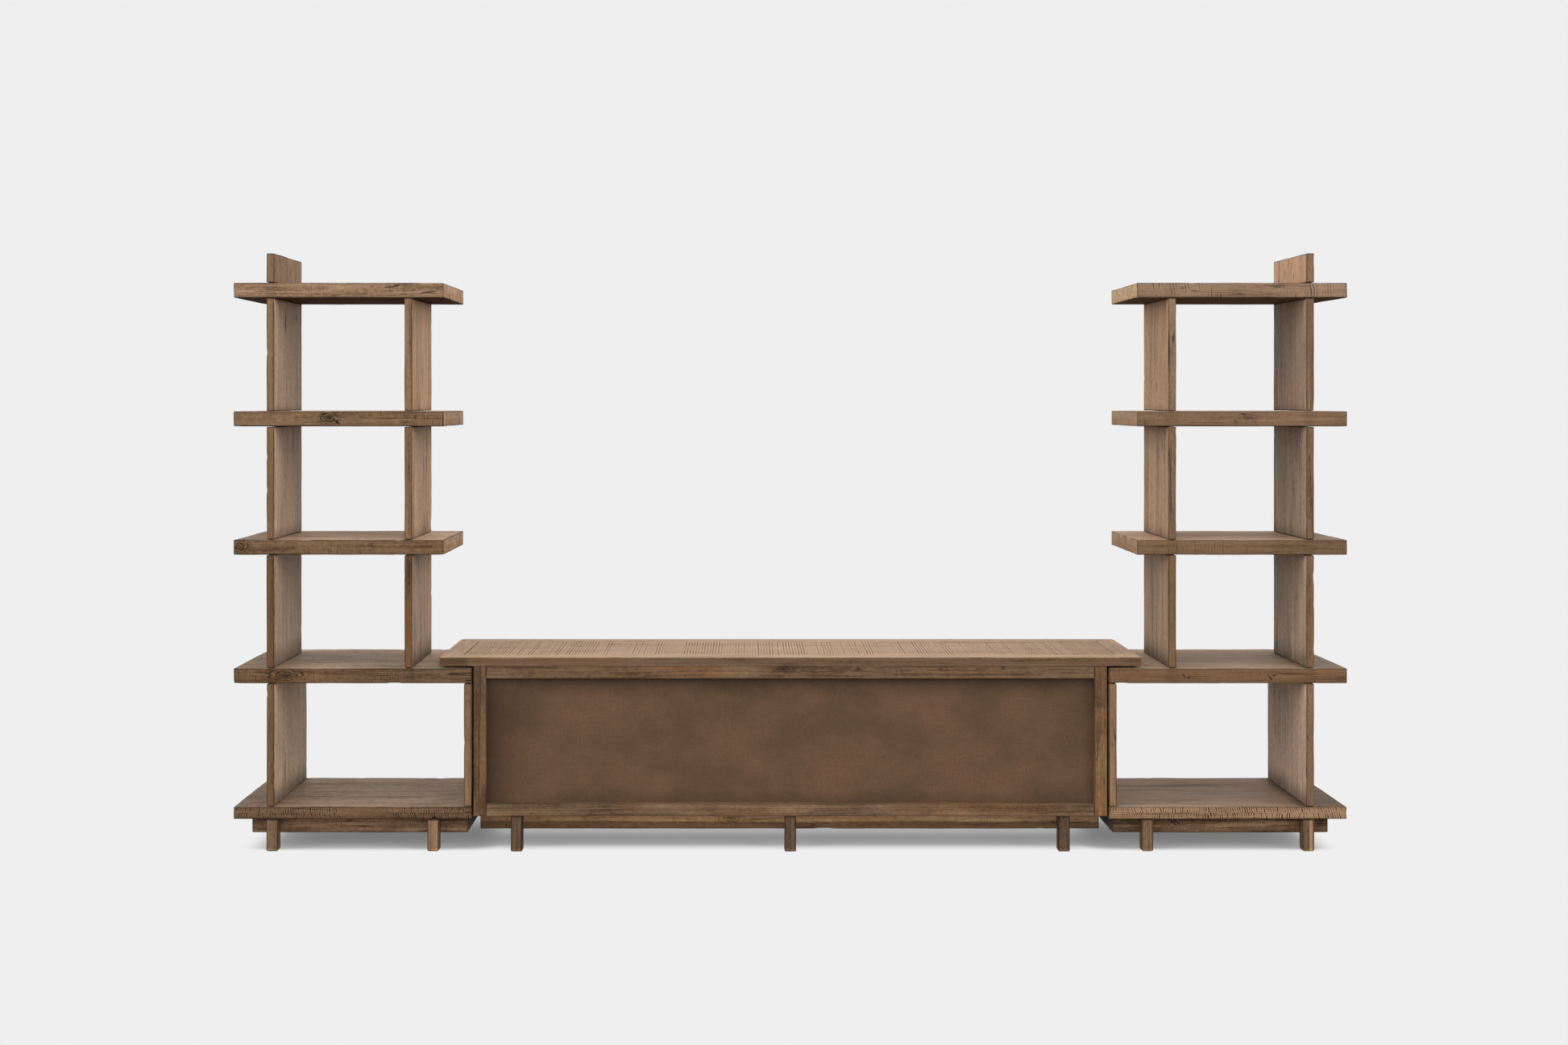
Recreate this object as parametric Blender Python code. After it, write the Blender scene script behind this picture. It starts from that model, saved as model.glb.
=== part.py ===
"""Entertainment center: a low cupboard console between two open shelf towers.

Metres, +Z up. The origin is on the floor, under the middle of the whole set.
The closed back of the console faces -Y, its sliding doors face +Y.
"""

import math

import bmesh
import bpy
from mathutils import Matrix, Vector

# Fits and small shapes shared by all pieces
FIT_GAP = 0.0003
CUT_OVERRUN = 0.002
EDGE_EASE = 0.0016
EASE_STEPS = 2
SHARP_EDGE_ANGLE = math.radians(50)
SMOOTH_ANGLE = math.radians(30)
MERGE_DISTANCE = 0.00003

# Depths from back to front; every board is flush at the back
UNIT_DEPTH = 0.450
UPPER_SHELF_DEPTH = 0.4065
UPRIGHT_DEPTH = 0.360
LOWER_PANEL_SETBACK = 0.020

# Shelf towers
TOWER_WIDTH = 0.7785
UPPER_SHELF_SETBACK = 0.0915
BASE_SHELF_THICK = 0.041
SHELF_THICK = 0.050
LOWER_BAY_HEIGHT = 0.402
UPPER_BAY_HEIGHT = 0.3695
FIN_HEIGHT = 0.0965
UPRIGHT_THICK = 0.0265
OUTER_UPRIGHT_INSET = 0.108
INNER_UPRIGHT_INSET = 0.1025
UPRIGHT_TONGUE_THICK = 0.011
UPRIGHT_TONGUE_LENGTH = 0.012
UNIT_SPACING = 0.0055

# Legs and the plinth frames behind them
LEG_SIZE = 0.038
LEG_CHAMFER = 0.005
LEG_TENON_THICK = 0.016
LEG_TENON_LENGTH = 0.014
TOWER_LEG_HEIGHT = 0.106
TOWER_LEG_INSET = 0.1075
PLINTH_CLEARANCE = 0.053
PLINTH_RAIL_THICK = 0.026
TOWER_PLINTH_INNER_INSET = 0.0185
TOWER_PLINTH_OUTER_INSET = 0.050

# Console carcass
CONSOLE_WIDTH = 2.068
CONSOLE_LEG_HEIGHT = 0.116
CONSOLE_LEG_INSET = 0.1215
CONSOLE_PLINTH_END_INSET = 0.008
CONSOLE_PLINTH_SETBACK = 0.090
SIDE_THICK = 0.041
BOTTOM_THICK = 0.0415
BOTTOM_TONGUE_THICK = 0.0175
BOTTOM_TONGUE_LENGTH = 0.012
RAIL_THICK = 0.041
RAIL_TENON_THICK = 0.021
RAIL_TENON_LENGTH = 0.015
REAR_RAIL_DEPTH = 0.060
HEAD_RAIL_MARGIN = 0.021
BACK_RECESS = 0.018
BACK_THICK = 0.006
BACK_GROOVE_DEPTH = 0.008
PARTITION_THICK = 0.025
HOUSING_DEPTH = 0.006
INNER_SHELF_THICK = 0.018
INNER_SHELF_SETBACK = 0.026
INNER_SHELF_HEIGHT_SHARE = 0.46

# Console top: a field of boards held in a border
TOP_THICK = 0.028
TOP_OVERHANG = 0.111
TOP_CLEARANCE = 0.007
BORDER_WIDTH = 0.068
BORDER_TONGUE_THICK = 0.009
BORDER_TONGUE_LENGTH = 0.008
CORNER_RADIUS = 0.025
CORNER_STEPS = 6

# Sliding doors on tongues in ploughed grooves
DOOR_THICK = 0.018
DOOR_SETBACK = 0.008
DOOR_PASSING_GAP = 0.005
DOOR_OVERLAP = 0.030
DOOR_END_GAP = 0.0005
DOOR_EDGE_GAP = 0.002
DOOR_PARTITION_GAP = 0.004
DOOR_TONGUE_THICK = 0.008
DOOR_TONGUE_PLAY = 0.0005
DOOR_BOARD_COUNT = 6
DOOR_JOINT_DEPTH = 0.0022
SILL_GROOVE_DEPTH = 0.006
HEAD_GROOVE_DEPTH = 0.016
HEAD_TONGUE_LENGTH = 0.010

# Round flush pulls let into the doors
PULL_INSET = 0.075
PULL_CUP_RADIUS = 0.026
PULL_FLANGE_RADIUS = 0.031
PULL_FLANGE_THICK = 0.0012
PULL_WALL = 0.0012
PULL_DEPTH = 0.010
PULL_STEPS = 32

# Finishes as colour (0-255 sRGB), roughness and metallic value
SHELF_WOOD = ((128, 101, 78), 0.62, 0.0)
UPRIGHT_WOOD = ((134, 110, 90), 0.62, 0.0)
FRAME_WOOD = ((108, 83, 62), 0.60, 0.0)
TOP_WOOD = ((168, 141, 118), 0.60, 0.0)
LEG_WOOD = ((103, 81, 62), 0.62, 0.0)
PLINTH_WOOD = ((92, 72, 54), 0.65, 0.0)
BACK_SHEET = ((98, 74, 56), 0.55, 0.0)
DOOR_WOOD = ((118, 92, 70), 0.60, 0.0)
AGED_BRASS = ((122, 98, 62), 0.38, 1.0)

# The axes by number; no piece is turned along the middle one
WIDE, _, TALL = range(3)


class Block:
    """The outer box of a board, from its lowest to its highest corner."""

    def __init__(self, low, high):
        self.low = Vector(low)
        self.high = Vector(high)

    @property
    def size(self):
        return self.high - self.low

    @property
    def centre(self):
        return (self.low + self.high) / 2

    def on_side(self, side):
        """The same block at the right (1), or mirrored to the left (-1)."""
        if side > 0:
            return self
        low = (-self.high.x, self.low.y, self.low.z)
        high = (-self.low.x, self.high.y, self.high.z)
        return Block(low, high)

    def grown(self, gap):
        margin = Vector((gap, gap, gap))
        return Block(self.low - margin, self.high + margin)

    def tongue_pocket(self, axis, way, tongue_thick, length):
        """The pocket that takes a tongue on the end of this block facing way along axis."""
        shoulder = end_shoulder(self.size, axis, tongue_thick)
        low = self.low + Vector((shoulder, shoulder, shoulder)) - Vector((FIT_GAP, FIT_GAP, FIT_GAP))
        high = self.high - Vector((shoulder, shoulder, shoulder)) + Vector((FIT_GAP, FIT_GAP, FIT_GAP))
        if way > 0:
            low[axis] = self.high[axis] - CUT_OVERRUN
            high[axis] = self.high[axis] + length + FIT_GAP
        else:
            low[axis] = self.low[axis] - length - FIT_GAP
            high[axis] = self.low[axis] + CUT_OVERRUN
        return Block(low, high)


def end_shoulder(size, axis, tongue_thick):
    """Shoulder round a tongue that is centred in the end face across the given axis."""
    narrow = min(size[i] for i in range(3) if i != axis)
    return (narrow - tongue_thick) / 2


def clear_scene():
    for item in list(bpy.data.objects):
        bpy.data.objects.remove(item)


def linear(channel):
    value = channel / 255
    if value <= 0.04045:
        return value / 12.92
    return ((value + 0.055) / 1.055) ** 2.4


def make_material(name, finish):
    colour, roughness, metallic = finish
    material = bpy.data.materials.new(name)
    material.use_nodes = True
    shader = material.node_tree.nodes["Principled BSDF"]
    rgb = [linear(channel) for channel in colour]
    shader.inputs["Base Color"].default_value = (*rgb, 1)
    shader.inputs["Roughness"].default_value = roughness
    shader.inputs["Metallic"].default_value = metallic
    material.diffuse_color = (*rgb, 1)
    return material


def make_object(name, bm, centre, finish):
    bmesh.ops.recalc_face_normals(bm, faces=bm.faces)
    mesh = bpy.data.meshes.new(name)
    bm.to_mesh(mesh)
    bm.free()
    mesh.materials.append(make_material(name, finish))
    piece = bpy.data.objects.new(name, mesh)
    piece.location = centre
    bpy.context.scene.collection.objects.link(piece)
    return piece


def eased_block(size):
    """A rectangular board about the origin with its edges eased."""
    bm = bmesh.new()
    bmesh.ops.create_cube(bm, size=1)
    bmesh.ops.scale(bm, vec=size, verts=bm.verts)
    bevel_edges(bm, bm.edges[:], EDGE_EASE, EASE_STEPS)
    return bm


def bevel_edges(bm, edges, width, steps):
    bmesh.ops.bevel(
        bm,
        geom=edges,
        offset=width,
        offset_type="OFFSET",
        segments=steps,
        profile=0.5,
        affect="EDGES",
        clamp_overlap=False,
        material=-1,
    )
    bm.normal_update()


def end_face(bm, axis, way):
    """The large flat face at one end of a board."""
    facing = Vector((0, 0, 0))
    facing[axis] = way
    return max(bm.faces, key=lambda face: face.normal.dot(facing) * face.calc_area())


def add_tongue(bm, size, axis, way, tongue_thick, length):
    """Draw a shouldered tongue out of the end face, stopped at both of its ends."""
    face = end_face(bm, axis, way)
    shoulder = end_shoulder(size, axis, tongue_thick)
    bmesh.ops.inset_region(bm, faces=[face], thickness=shoulder - EDGE_EASE, use_even_offset=True)
    drawn = bmesh.ops.extrude_discrete_faces(bm, faces=[face])
    step = Vector((0, 0, 0))
    step[axis] = way * length
    bmesh.ops.translate(bm, verts=drawn["faces"][0].verts[:], vec=step)
    bm.normal_update()


def board(name, block, finish, tongues=(), tongue_thick=0, tongue_length=0):
    """A board that fills its block, with a tongue at each (axis, way) listed."""
    bm = eased_block(block.size)
    for axis, way in tongues:
        add_tongue(bm, block.size, axis, way, tongue_thick, tongue_length)
    return make_object(name, bm, block.centre, finish)


def make_cutter(piece, bm):
    """Cut the shape in bm, given in world places, out of a piece."""
    bmesh.ops.recalc_face_normals(bm, faces=bm.faces)
    mesh = bpy.data.meshes.new(piece.name + "_cutter")
    bm.to_mesh(mesh)
    bm.free()
    cutter = bpy.data.objects.new(piece.name + "_cutter", mesh)
    cutter.hide_render = True
    cutter.display_type = "WIRE"
    bpy.context.scene.collection.objects.link(cutter)
    cut = piece.modifiers.new("cut", "BOOLEAN")
    cut.operation = "DIFFERENCE"
    cut.solver = "EXACT"
    cut.use_self = True
    cut.object = cutter


def cut_blocks(piece, blocks):
    """Cut pockets, grooves or notches, each given as a block, out of a piece."""
    bm = bmesh.new()
    for block in blocks:
        made = bmesh.ops.create_cube(bm, size=1)
        bmesh.ops.scale(bm, vec=block.size, verts=made["verts"])
        bmesh.ops.translate(bm, vec=block.centre, verts=made["verts"])
    make_cutter(piece, bm)


def ring_frame(name, block, rail, finish, rounded_corners=False):
    """Four rails glued into one flat frame that fills the block."""
    bm = bmesh.new()
    bmesh.ops.create_grid(bm, x_segments=1, y_segments=1, size=0.5)
    size = block.size
    bmesh.ops.scale(bm, vec=(size.x, size.y, 1), verts=bm.verts)
    bmesh.ops.translate(bm, vec=(0, 0, -size.z / 2), verts=bm.verts)
    inner = bm.faces[:]
    bmesh.ops.inset_region(bm, faces=inner, thickness=rail, use_boundary=True, use_even_offset=True)
    bmesh.ops.delete(bm, geom=inner, context="FACES")
    drawn = bmesh.ops.extrude_face_region(bm, geom=bm.faces[:])
    raised = [item for item in drawn["geom"] if isinstance(item, bmesh.types.BMVert)]
    bmesh.ops.translate(bm, vec=(0, 0, size.z), verts=raised)
    bmesh.ops.recalc_face_normals(bm, faces=bm.faces)
    bm.normal_update()
    if rounded_corners:
        bevel_edges(bm, front_corner_edges(bm, size), CORNER_RADIUS, CORNER_STEPS)
    sharp = [edge for edge in bm.edges if edge.is_convex and edge.calc_face_angle() > SHARP_EDGE_ANGLE]
    bevel_edges(bm, sharp, EDGE_EASE, EASE_STEPS)
    return make_object(name, bm, block.centre, finish)


def front_corner_edges(bm, size):
    """The two upright edges at the outer front corners."""
    corners = []
    for edge in bm.edges:
        middle = (edge.verts[0].co + edge.verts[1].co) / 2
        upright = abs(edge.verts[0].co.z - edge.verts[1].co.z) > size.z / 2
        outside = middle.y > size.y / 2 - EDGE_EASE and abs(middle.x) > size.x / 2 - EDGE_EASE
        if upright and outside:
            corners.append(edge)
    return corners


def leg(name, block):
    """A square leg with a chamfered foot and a stub tenon at its head."""
    size = block.size
    bm = bmesh.new()
    bmesh.ops.create_cube(bm, size=1)
    bmesh.ops.scale(bm, vec=size, verts=bm.verts)
    foot = end_face(bm, TALL, -1)
    bevel_edges(bm, foot.edges[:], LEG_CHAMFER, 1)
    arrises = [edge for edge in bm.edges if edge_rise(edge) > LEG_CHAMFER / 2]
    bevel_edges(bm, arrises, EDGE_EASE, 1)
    head = end_face(bm, TALL, 1)
    shoulder = end_shoulder(size, TALL, LEG_TENON_THICK)
    bmesh.ops.inset_region(bm, faces=[head], thickness=shoulder, use_even_offset=True)
    drawn = bmesh.ops.extrude_discrete_faces(bm, faces=[head])
    bmesh.ops.translate(bm, verts=drawn["faces"][0].verts[:], vec=(0, 0, LEG_TENON_LENGTH))
    return make_object(name, bm, block.centre, LEG_WOOD)


def edge_rise(edge):
    return abs(edge.verts[0].co.z - edge.verts[1].co.z)


def tower_levels():
    """Underside and top face of each tower shelf, from the floor up."""
    levels = {}
    underside = TOWER_LEG_HEIGHT
    stack = (
        ("base", BASE_SHELF_THICK, LOWER_BAY_HEIGHT),
        ("low", SHELF_THICK, UPPER_BAY_HEIGHT),
        ("mid", SHELF_THICK, UPPER_BAY_HEIGHT),
        ("high", SHELF_THICK, UPPER_BAY_HEIGHT),
        ("top", SHELF_THICK, 0),
    )
    for name, thick, bay in stack:
        levels[name] = (underside, underside + thick)
        underside += thick + bay
    return levels


BACK = -UNIT_DEPTH / 2
FRONT = UNIT_DEPTH / 2
LEVELS = tower_levels()
TOWER_INNER = CONSOLE_WIDTH / 2 + UNIT_SPACING
TOWER_OUTER = TOWER_INNER + TOWER_WIDTH
UPPER_INNER = TOWER_INNER + UPPER_SHELF_SETBACK
BODY_TOP = LEVELS["low"][1] + TOP_CLEARANCE
BODY_INSIDE = CONSOLE_WIDTH / 2 - SIDE_THICK
FLOOR_TOP = CONSOLE_LEG_HEIGHT + BOTTOM_THICK
HEAD_UNDERSIDE = BODY_TOP - RAIL_THICK
OUTER_DOOR_MIDDLE = FRONT - DOOR_SETBACK - DOOR_THICK / 2
INNER_DOOR_MIDDLE = OUTER_DOOR_MIDDLE - DOOR_THICK - DOOR_PASSING_GAP
HEAD_RAIL_BACK = INNER_DOOR_MIDDLE - DOOR_THICK / 2 - HEAD_RAIL_MARGIN


def tower_shelf_block(level):
    underside, top = LEVELS[level]
    if level in ("base", "low"):
        return Block((TOWER_INNER, BACK, underside), (TOWER_OUTER, FRONT, top))
    return Block((UPPER_INNER, BACK, underside), (TOWER_OUTER, BACK + UPPER_SHELF_DEPTH, top))


def upright_block(start, depth, below, above):
    """An upright board between two shelf levels, its inner side face at start."""
    bottom = LEVELS[below][1] + FIT_GAP
    top = LEVELS[above][0] - FIT_GAP
    return Block((start, BACK, bottom), (start + UPRIGHT_THICK, BACK + depth, top))


def tower_upright_blocks():
    """Every upright board of the right tower as name: (block, shelf below, shelf above)."""
    outer = TOWER_OUTER - OUTER_UPRIGHT_INSET - UPRIGHT_THICK
    inner = UPPER_INNER + INNER_UPRIGHT_INSET
    panel_depth = UNIT_DEPTH - LOWER_PANEL_SETBACK
    uprights = {
        "outer_panel": (upright_block(outer, panel_depth, "base", "low"), "base", "low"),
        "inner_panel": (upright_block(TOWER_INNER, panel_depth, "base", "low"), "base", "low"),
    }
    for below, above in (("low", "mid"), ("mid", "high"), ("high", "top")):
        for line, start in (("outer", outer), ("inner", inner)):
            block = upright_block(start, UPRIGHT_DEPTH, below, above)
            uprights[f"{line}_upright_{below}"] = (block, below, above)
    fin = upright_block(outer, UPRIGHT_DEPTH, "top", "top")
    fin.high.z = LEVELS["top"][1] + FIN_HEIGHT
    uprights["outer_upright_top"] = (fin, "top", None)
    return uprights


def leg_blocks(places, height):
    """Back and front legs as name: block, for each (name, lowest x) in places."""
    legs = {}
    for name, start in places:
        for row, near in (("rear", BACK), ("front", FRONT - LEG_SIZE)):
            low = (start, near, 0)
            high = (start + LEG_SIZE, near + LEG_SIZE, height - FIT_GAP)
            legs[f"leg_{row}_{name}"] = Block(low, high)
    return legs


def build_tower(prefix, side):
    pockets = {level: [] for level in LEVELS}
    for name, (block, below, above) in tower_upright_blocks().items():
        placed = block.on_side(side)
        ways = [(below, -1)] if above is None else [(below, -1), (above, 1)]
        for level, way in ways:
            pocket = placed.tongue_pocket(TALL, way, UPRIGHT_TONGUE_THICK, UPRIGHT_TONGUE_LENGTH)
            pockets[level].append(pocket)
        tongues = [(TALL, way) for _, way in ways]
        board(f"{prefix}_{name}", placed, UPRIGHT_WOOD, tongues, UPRIGHT_TONGUE_THICK, UPRIGHT_TONGUE_LENGTH)
    leg_places = (
        ("inner", TOWER_INNER + TOWER_LEG_INSET),
        ("outer", TOWER_OUTER - TOWER_LEG_INSET - LEG_SIZE),
    )
    for name, block in leg_blocks(leg_places, TOWER_LEG_HEIGHT).items():
        placed = block.on_side(side)
        leg(f"{prefix}_{name}", placed)
        pockets["base"].append(placed.tongue_pocket(TALL, 1, LEG_TENON_THICK, LEG_TENON_LENGTH))
    for level, cuts in pockets.items():
        shelf = board(f"{prefix}_{level}_shelf", tower_shelf_block(level).on_side(side), SHELF_WOOD)
        cut_blocks(shelf, cuts)
    plinth_low = (TOWER_INNER + TOWER_PLINTH_INNER_INSET, BACK + LEG_SIZE + FIT_GAP, PLINTH_CLEARANCE)
    plinth_high = (
        TOWER_OUTER - TOWER_PLINTH_OUTER_INSET,
        FRONT - LEG_SIZE - FIT_GAP,
        TOWER_LEG_HEIGHT - FIT_GAP,
    )
    plinth = Block(plinth_low, plinth_high).on_side(side)
    ring_frame(f"{prefix}_plinth_frame", plinth, PLINTH_RAIL_THICK, PLINTH_WOOD)


def side_panel_block():
    return Block((BODY_INSIDE, BACK, CONSOLE_LEG_HEIGHT), (CONSOLE_WIDTH / 2, FRONT, BODY_TOP))


def bottom_block():
    reach = BODY_INSIDE - FIT_GAP
    return Block((-reach, BACK, CONSOLE_LEG_HEIGHT), (reach, FRONT, FLOOR_TOP))


def rear_rail_block():
    reach = BODY_INSIDE - FIT_GAP
    return Block((-reach, BACK, HEAD_UNDERSIDE), (reach, BACK + REAR_RAIL_DEPTH, BODY_TOP))


def head_rail_block():
    reach = BODY_INSIDE - FIT_GAP
    return Block((-reach, HEAD_RAIL_BACK, HEAD_UNDERSIDE), (reach, FRONT, BODY_TOP))


def back_sheet_block():
    """The back sheet, with the margin that sits in the grooves round it."""
    near = BACK + BACK_RECESS
    margin = BACK_GROOVE_DEPTH - FIT_GAP
    low = (-BODY_INSIDE - margin, near, FLOOR_TOP - margin)
    high = (BODY_INSIDE + margin, near + BACK_THICK, HEAD_UNDERSIDE + margin)
    return Block(low, high)


def partition_block():
    near = BACK + BACK_RECESS + BACK_THICK + FIT_GAP
    far = INNER_DOOR_MIDDLE - DOOR_THICK / 2 - DOOR_PARTITION_GAP
    half = PARTITION_THICK / 2
    return Block((-half, near, FLOOR_TOP - HOUSING_DEPTH + FIT_GAP), (half, far, BODY_TOP))


def inner_shelf_block():
    """The shelf of the right compartment, housed in the side panel and the partition."""
    partition = partition_block()
    bottom = FLOOR_TOP + INNER_SHELF_HEIGHT_SHARE * (HEAD_UNDERSIDE - FLOOR_TOP)
    housed = HOUSING_DEPTH - FIT_GAP
    low = (partition.high.x - housed, partition.low.y, bottom)
    high = (BODY_INSIDE + housed, partition.high.y - INNER_SHELF_SETBACK, bottom + INNER_SHELF_THICK)
    return Block(low, high)


def door_block(side):
    """The closed door at one side; the left one (-1) runs in the outer grooves."""
    middle = OUTER_DOOR_MIDDLE if side < 0 else INNER_DOOR_MIDDLE
    closed_end = BODY_INSIDE - DOOR_END_GAP
    block = Block(
        (-DOOR_OVERLAP / 2, middle - DOOR_THICK / 2, FLOOR_TOP + DOOR_EDGE_GAP),
        (closed_end, middle + DOOR_THICK / 2, HEAD_UNDERSIDE - DOOR_EDGE_GAP),
    )
    return block.on_side(side)


def door_groove_blocks(low_z, high_z):
    """Both door grooves at one height, running the whole width between the side panels."""
    half = DOOR_TONGUE_THICK / 2 + DOOR_TONGUE_PLAY
    reach = BODY_INSIDE + CUT_OVERRUN
    grooves = []
    for middle in (OUTER_DOOR_MIDDLE, INNER_DOOR_MIDDLE):
        grooves.append(Block((-reach, middle - half, low_z), (reach, middle + half, high_z)))
    return grooves


def build_door(name, side):
    """A door slab whose long edges are rebated to tongues, with a pocket for its pull."""
    block = door_block(side)
    size = block.size
    tongue = DOOR_TONGUE_THICK / 2
    sill = SILL_GROOVE_DEPTH + DOOR_EDGE_GAP - FIT_GAP
    half = DOOR_THICK / 2
    outline = (
        (-half, -size.z / 2),
        (-tongue, -size.z / 2),
        (-tongue, -size.z / 2 - sill),
        (tongue, -size.z / 2 - sill),
        (tongue, -size.z / 2),
        (half, -size.z / 2),
        (half, size.z / 2),
        (tongue, size.z / 2),
        (tongue, size.z / 2 + HEAD_TONGUE_LENGTH),
        (-tongue, size.z / 2 + HEAD_TONGUE_LENGTH),
        (-tongue, size.z / 2),
        (-half, size.z / 2),
    )
    bm = bmesh.new()
    corners = [bm.verts.new((-size.x / 2, y, z)) for y, z in outline]
    profile = bm.faces.new(corners)
    drawn = bmesh.ops.extrude_face_region(bm, geom=[profile])
    moved = [item for item in drawn["geom"] if isinstance(item, bmesh.types.BMVert)]
    bmesh.ops.translate(bm, vec=(size.x, 0, 0), verts=moved)
    door = make_object(name, bm, block.centre, DOOR_WOOD)
    pocket_depth = PULL_DEPTH + 2 * FIT_GAP
    bm = bmesh.new()
    bmesh.ops.create_cone(
        bm,
        cap_ends=True,
        segments=PULL_STEPS,
        radius1=PULL_CUP_RADIUS + FIT_GAP,
        radius2=PULL_CUP_RADIUS + FIT_GAP,
        depth=pocket_depth + CUT_OVERRUN,
    )
    bmesh.ops.rotate(bm, verts=bm.verts, cent=(0, 0, 0), matrix=Matrix.Rotation(math.pi / 2, 3, "X"))
    mouth = pull_place(side)
    mouth.y += (CUT_OVERRUN - pocket_depth) / 2
    bmesh.ops.translate(bm, verts=bm.verts, vec=mouth)
    add_joint_grooves(bm, block)
    make_cutter(door, bm)


def add_joint_grooves(bm, block):
    """Square rods set on edge, which cut a V at each board joint on the door's front."""
    board_width = block.size.x / DOOR_BOARD_COUNT
    side = DOOR_JOINT_DEPTH * math.sqrt(2)
    length = block.size.z + 2 * (HEAD_TONGUE_LENGTH + CUT_OVERRUN)
    turn = Matrix.Rotation(math.pi / 4, 3, "Z")
    for joint in range(1, DOOR_BOARD_COUNT):
        made = bmesh.ops.create_cube(bm, size=1)
        bmesh.ops.scale(bm, vec=(side, side, length), verts=made["verts"])
        bmesh.ops.rotate(bm, verts=made["verts"], cent=(0, 0, 0), matrix=turn)
        place = (block.low.x + joint * board_width, block.high.y, block.centre.z)
        bmesh.ops.translate(bm, vec=place, verts=made["verts"])


def pull_place(side):
    """Middle of the pull, on the front face of its door."""
    block = door_block(side)
    x = side * (BODY_INSIDE - PULL_INSET)
    return Vector((x, block.high.y, block.centre.z))


def build_pull(name, side):
    """A flush cup pull turned about the line square to the door, with a thin flange."""
    profile = (
        (0, -PULL_DEPTH + PULL_WALL),
        (PULL_CUP_RADIUS - PULL_WALL, -PULL_DEPTH + PULL_WALL),
        (PULL_CUP_RADIUS - PULL_WALL, PULL_FLANGE_THICK),
        (PULL_FLANGE_RADIUS, PULL_FLANGE_THICK),
        (PULL_FLANGE_RADIUS, 0),
        (PULL_CUP_RADIUS, 0),
        (PULL_CUP_RADIUS, -PULL_DEPTH),
        (0, -PULL_DEPTH),
    )
    bm = bmesh.new()
    points = [bm.verts.new((radius, along, 0)) for radius, along in profile]
    edges = [bm.edges.new(pair) for pair in zip(points, points[1:])]
    bmesh.ops.spin(
        bm,
        geom=points + edges,
        cent=(0, 0, 0),
        axis=(0, 1, 0),
        angle=2 * math.pi,
        steps=PULL_STEPS,
        use_merge=True,
    )
    bmesh.ops.remove_doubles(bm, verts=bm.verts, dist=MERGE_DISTANCE)
    seat = pull_place(side)
    seat.y += FIT_GAP
    pull = make_object(name, bm, seat, AGED_BRASS)
    pull.data.shade_smooth()
    pull.data.set_sharp_from_angle(angle=SMOOTH_ANGLE)


def is_wall(face):
    return max(abs(face.normal.x), abs(face.normal.y)) > abs(face.normal.z)


def build_console_top():
    """A field of boards tongued all round into a mitred border."""
    reach = CONSOLE_WIDTH / 2 + TOP_OVERHANG
    underside = BODY_TOP + FIT_GAP
    whole = Block((-reach, BACK, underside), (reach, FRONT, underside + TOP_THICK))
    rim = BORDER_WIDTH + FIT_GAP
    field = Block(whole.low + Vector((rim, rim, 0)), whole.high - Vector((rim, rim, 0)))
    bm = eased_block(field.size)
    tongue_cheek = (TOP_THICK - BORDER_TONGUE_THICK) / 2
    for way in (-1, 1):
        level = way * (TOP_THICK / 2 - tongue_cheek)
        everything = bm.verts[:] + bm.edges[:] + bm.faces[:]
        bmesh.ops.bisect_plane(bm, geom=everything, plane_co=(0, 0, level), plane_no=(0, 0, 1))
    bm.normal_update()
    band = []
    for face in bm.faces:
        if is_wall(face) and abs(face.calc_center_median().z) < tongue_cheek / 2:
            band.append(face)
    drawn = bmesh.ops.extrude_face_region(bm, geom=band)
    for item in drawn["geom"]:
        if isinstance(item, bmesh.types.BMVert):
            item.co.x += math.copysign(BORDER_TONGUE_LENGTH, item.co.x)
            item.co.y += math.copysign(BORDER_TONGUE_LENGTH, item.co.y)
    bmesh.ops.delete(bm, geom=band, context="FACES")
    make_object("console_top_panel", bm, field.centre, TOP_WOOD)
    border = ring_frame("console_top_border", whole, BORDER_WIDTH, TOP_WOOD, rounded_corners=True)
    groove = field.grown(BORDER_TONGUE_LENGTH + FIT_GAP)
    groove.low.z = field.centre.z - BORDER_TONGUE_THICK / 2 - FIT_GAP
    groove.high.z = field.centre.z + BORDER_TONGUE_THICK / 2 + FIT_GAP
    cut_blocks(border, [groove])


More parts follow.
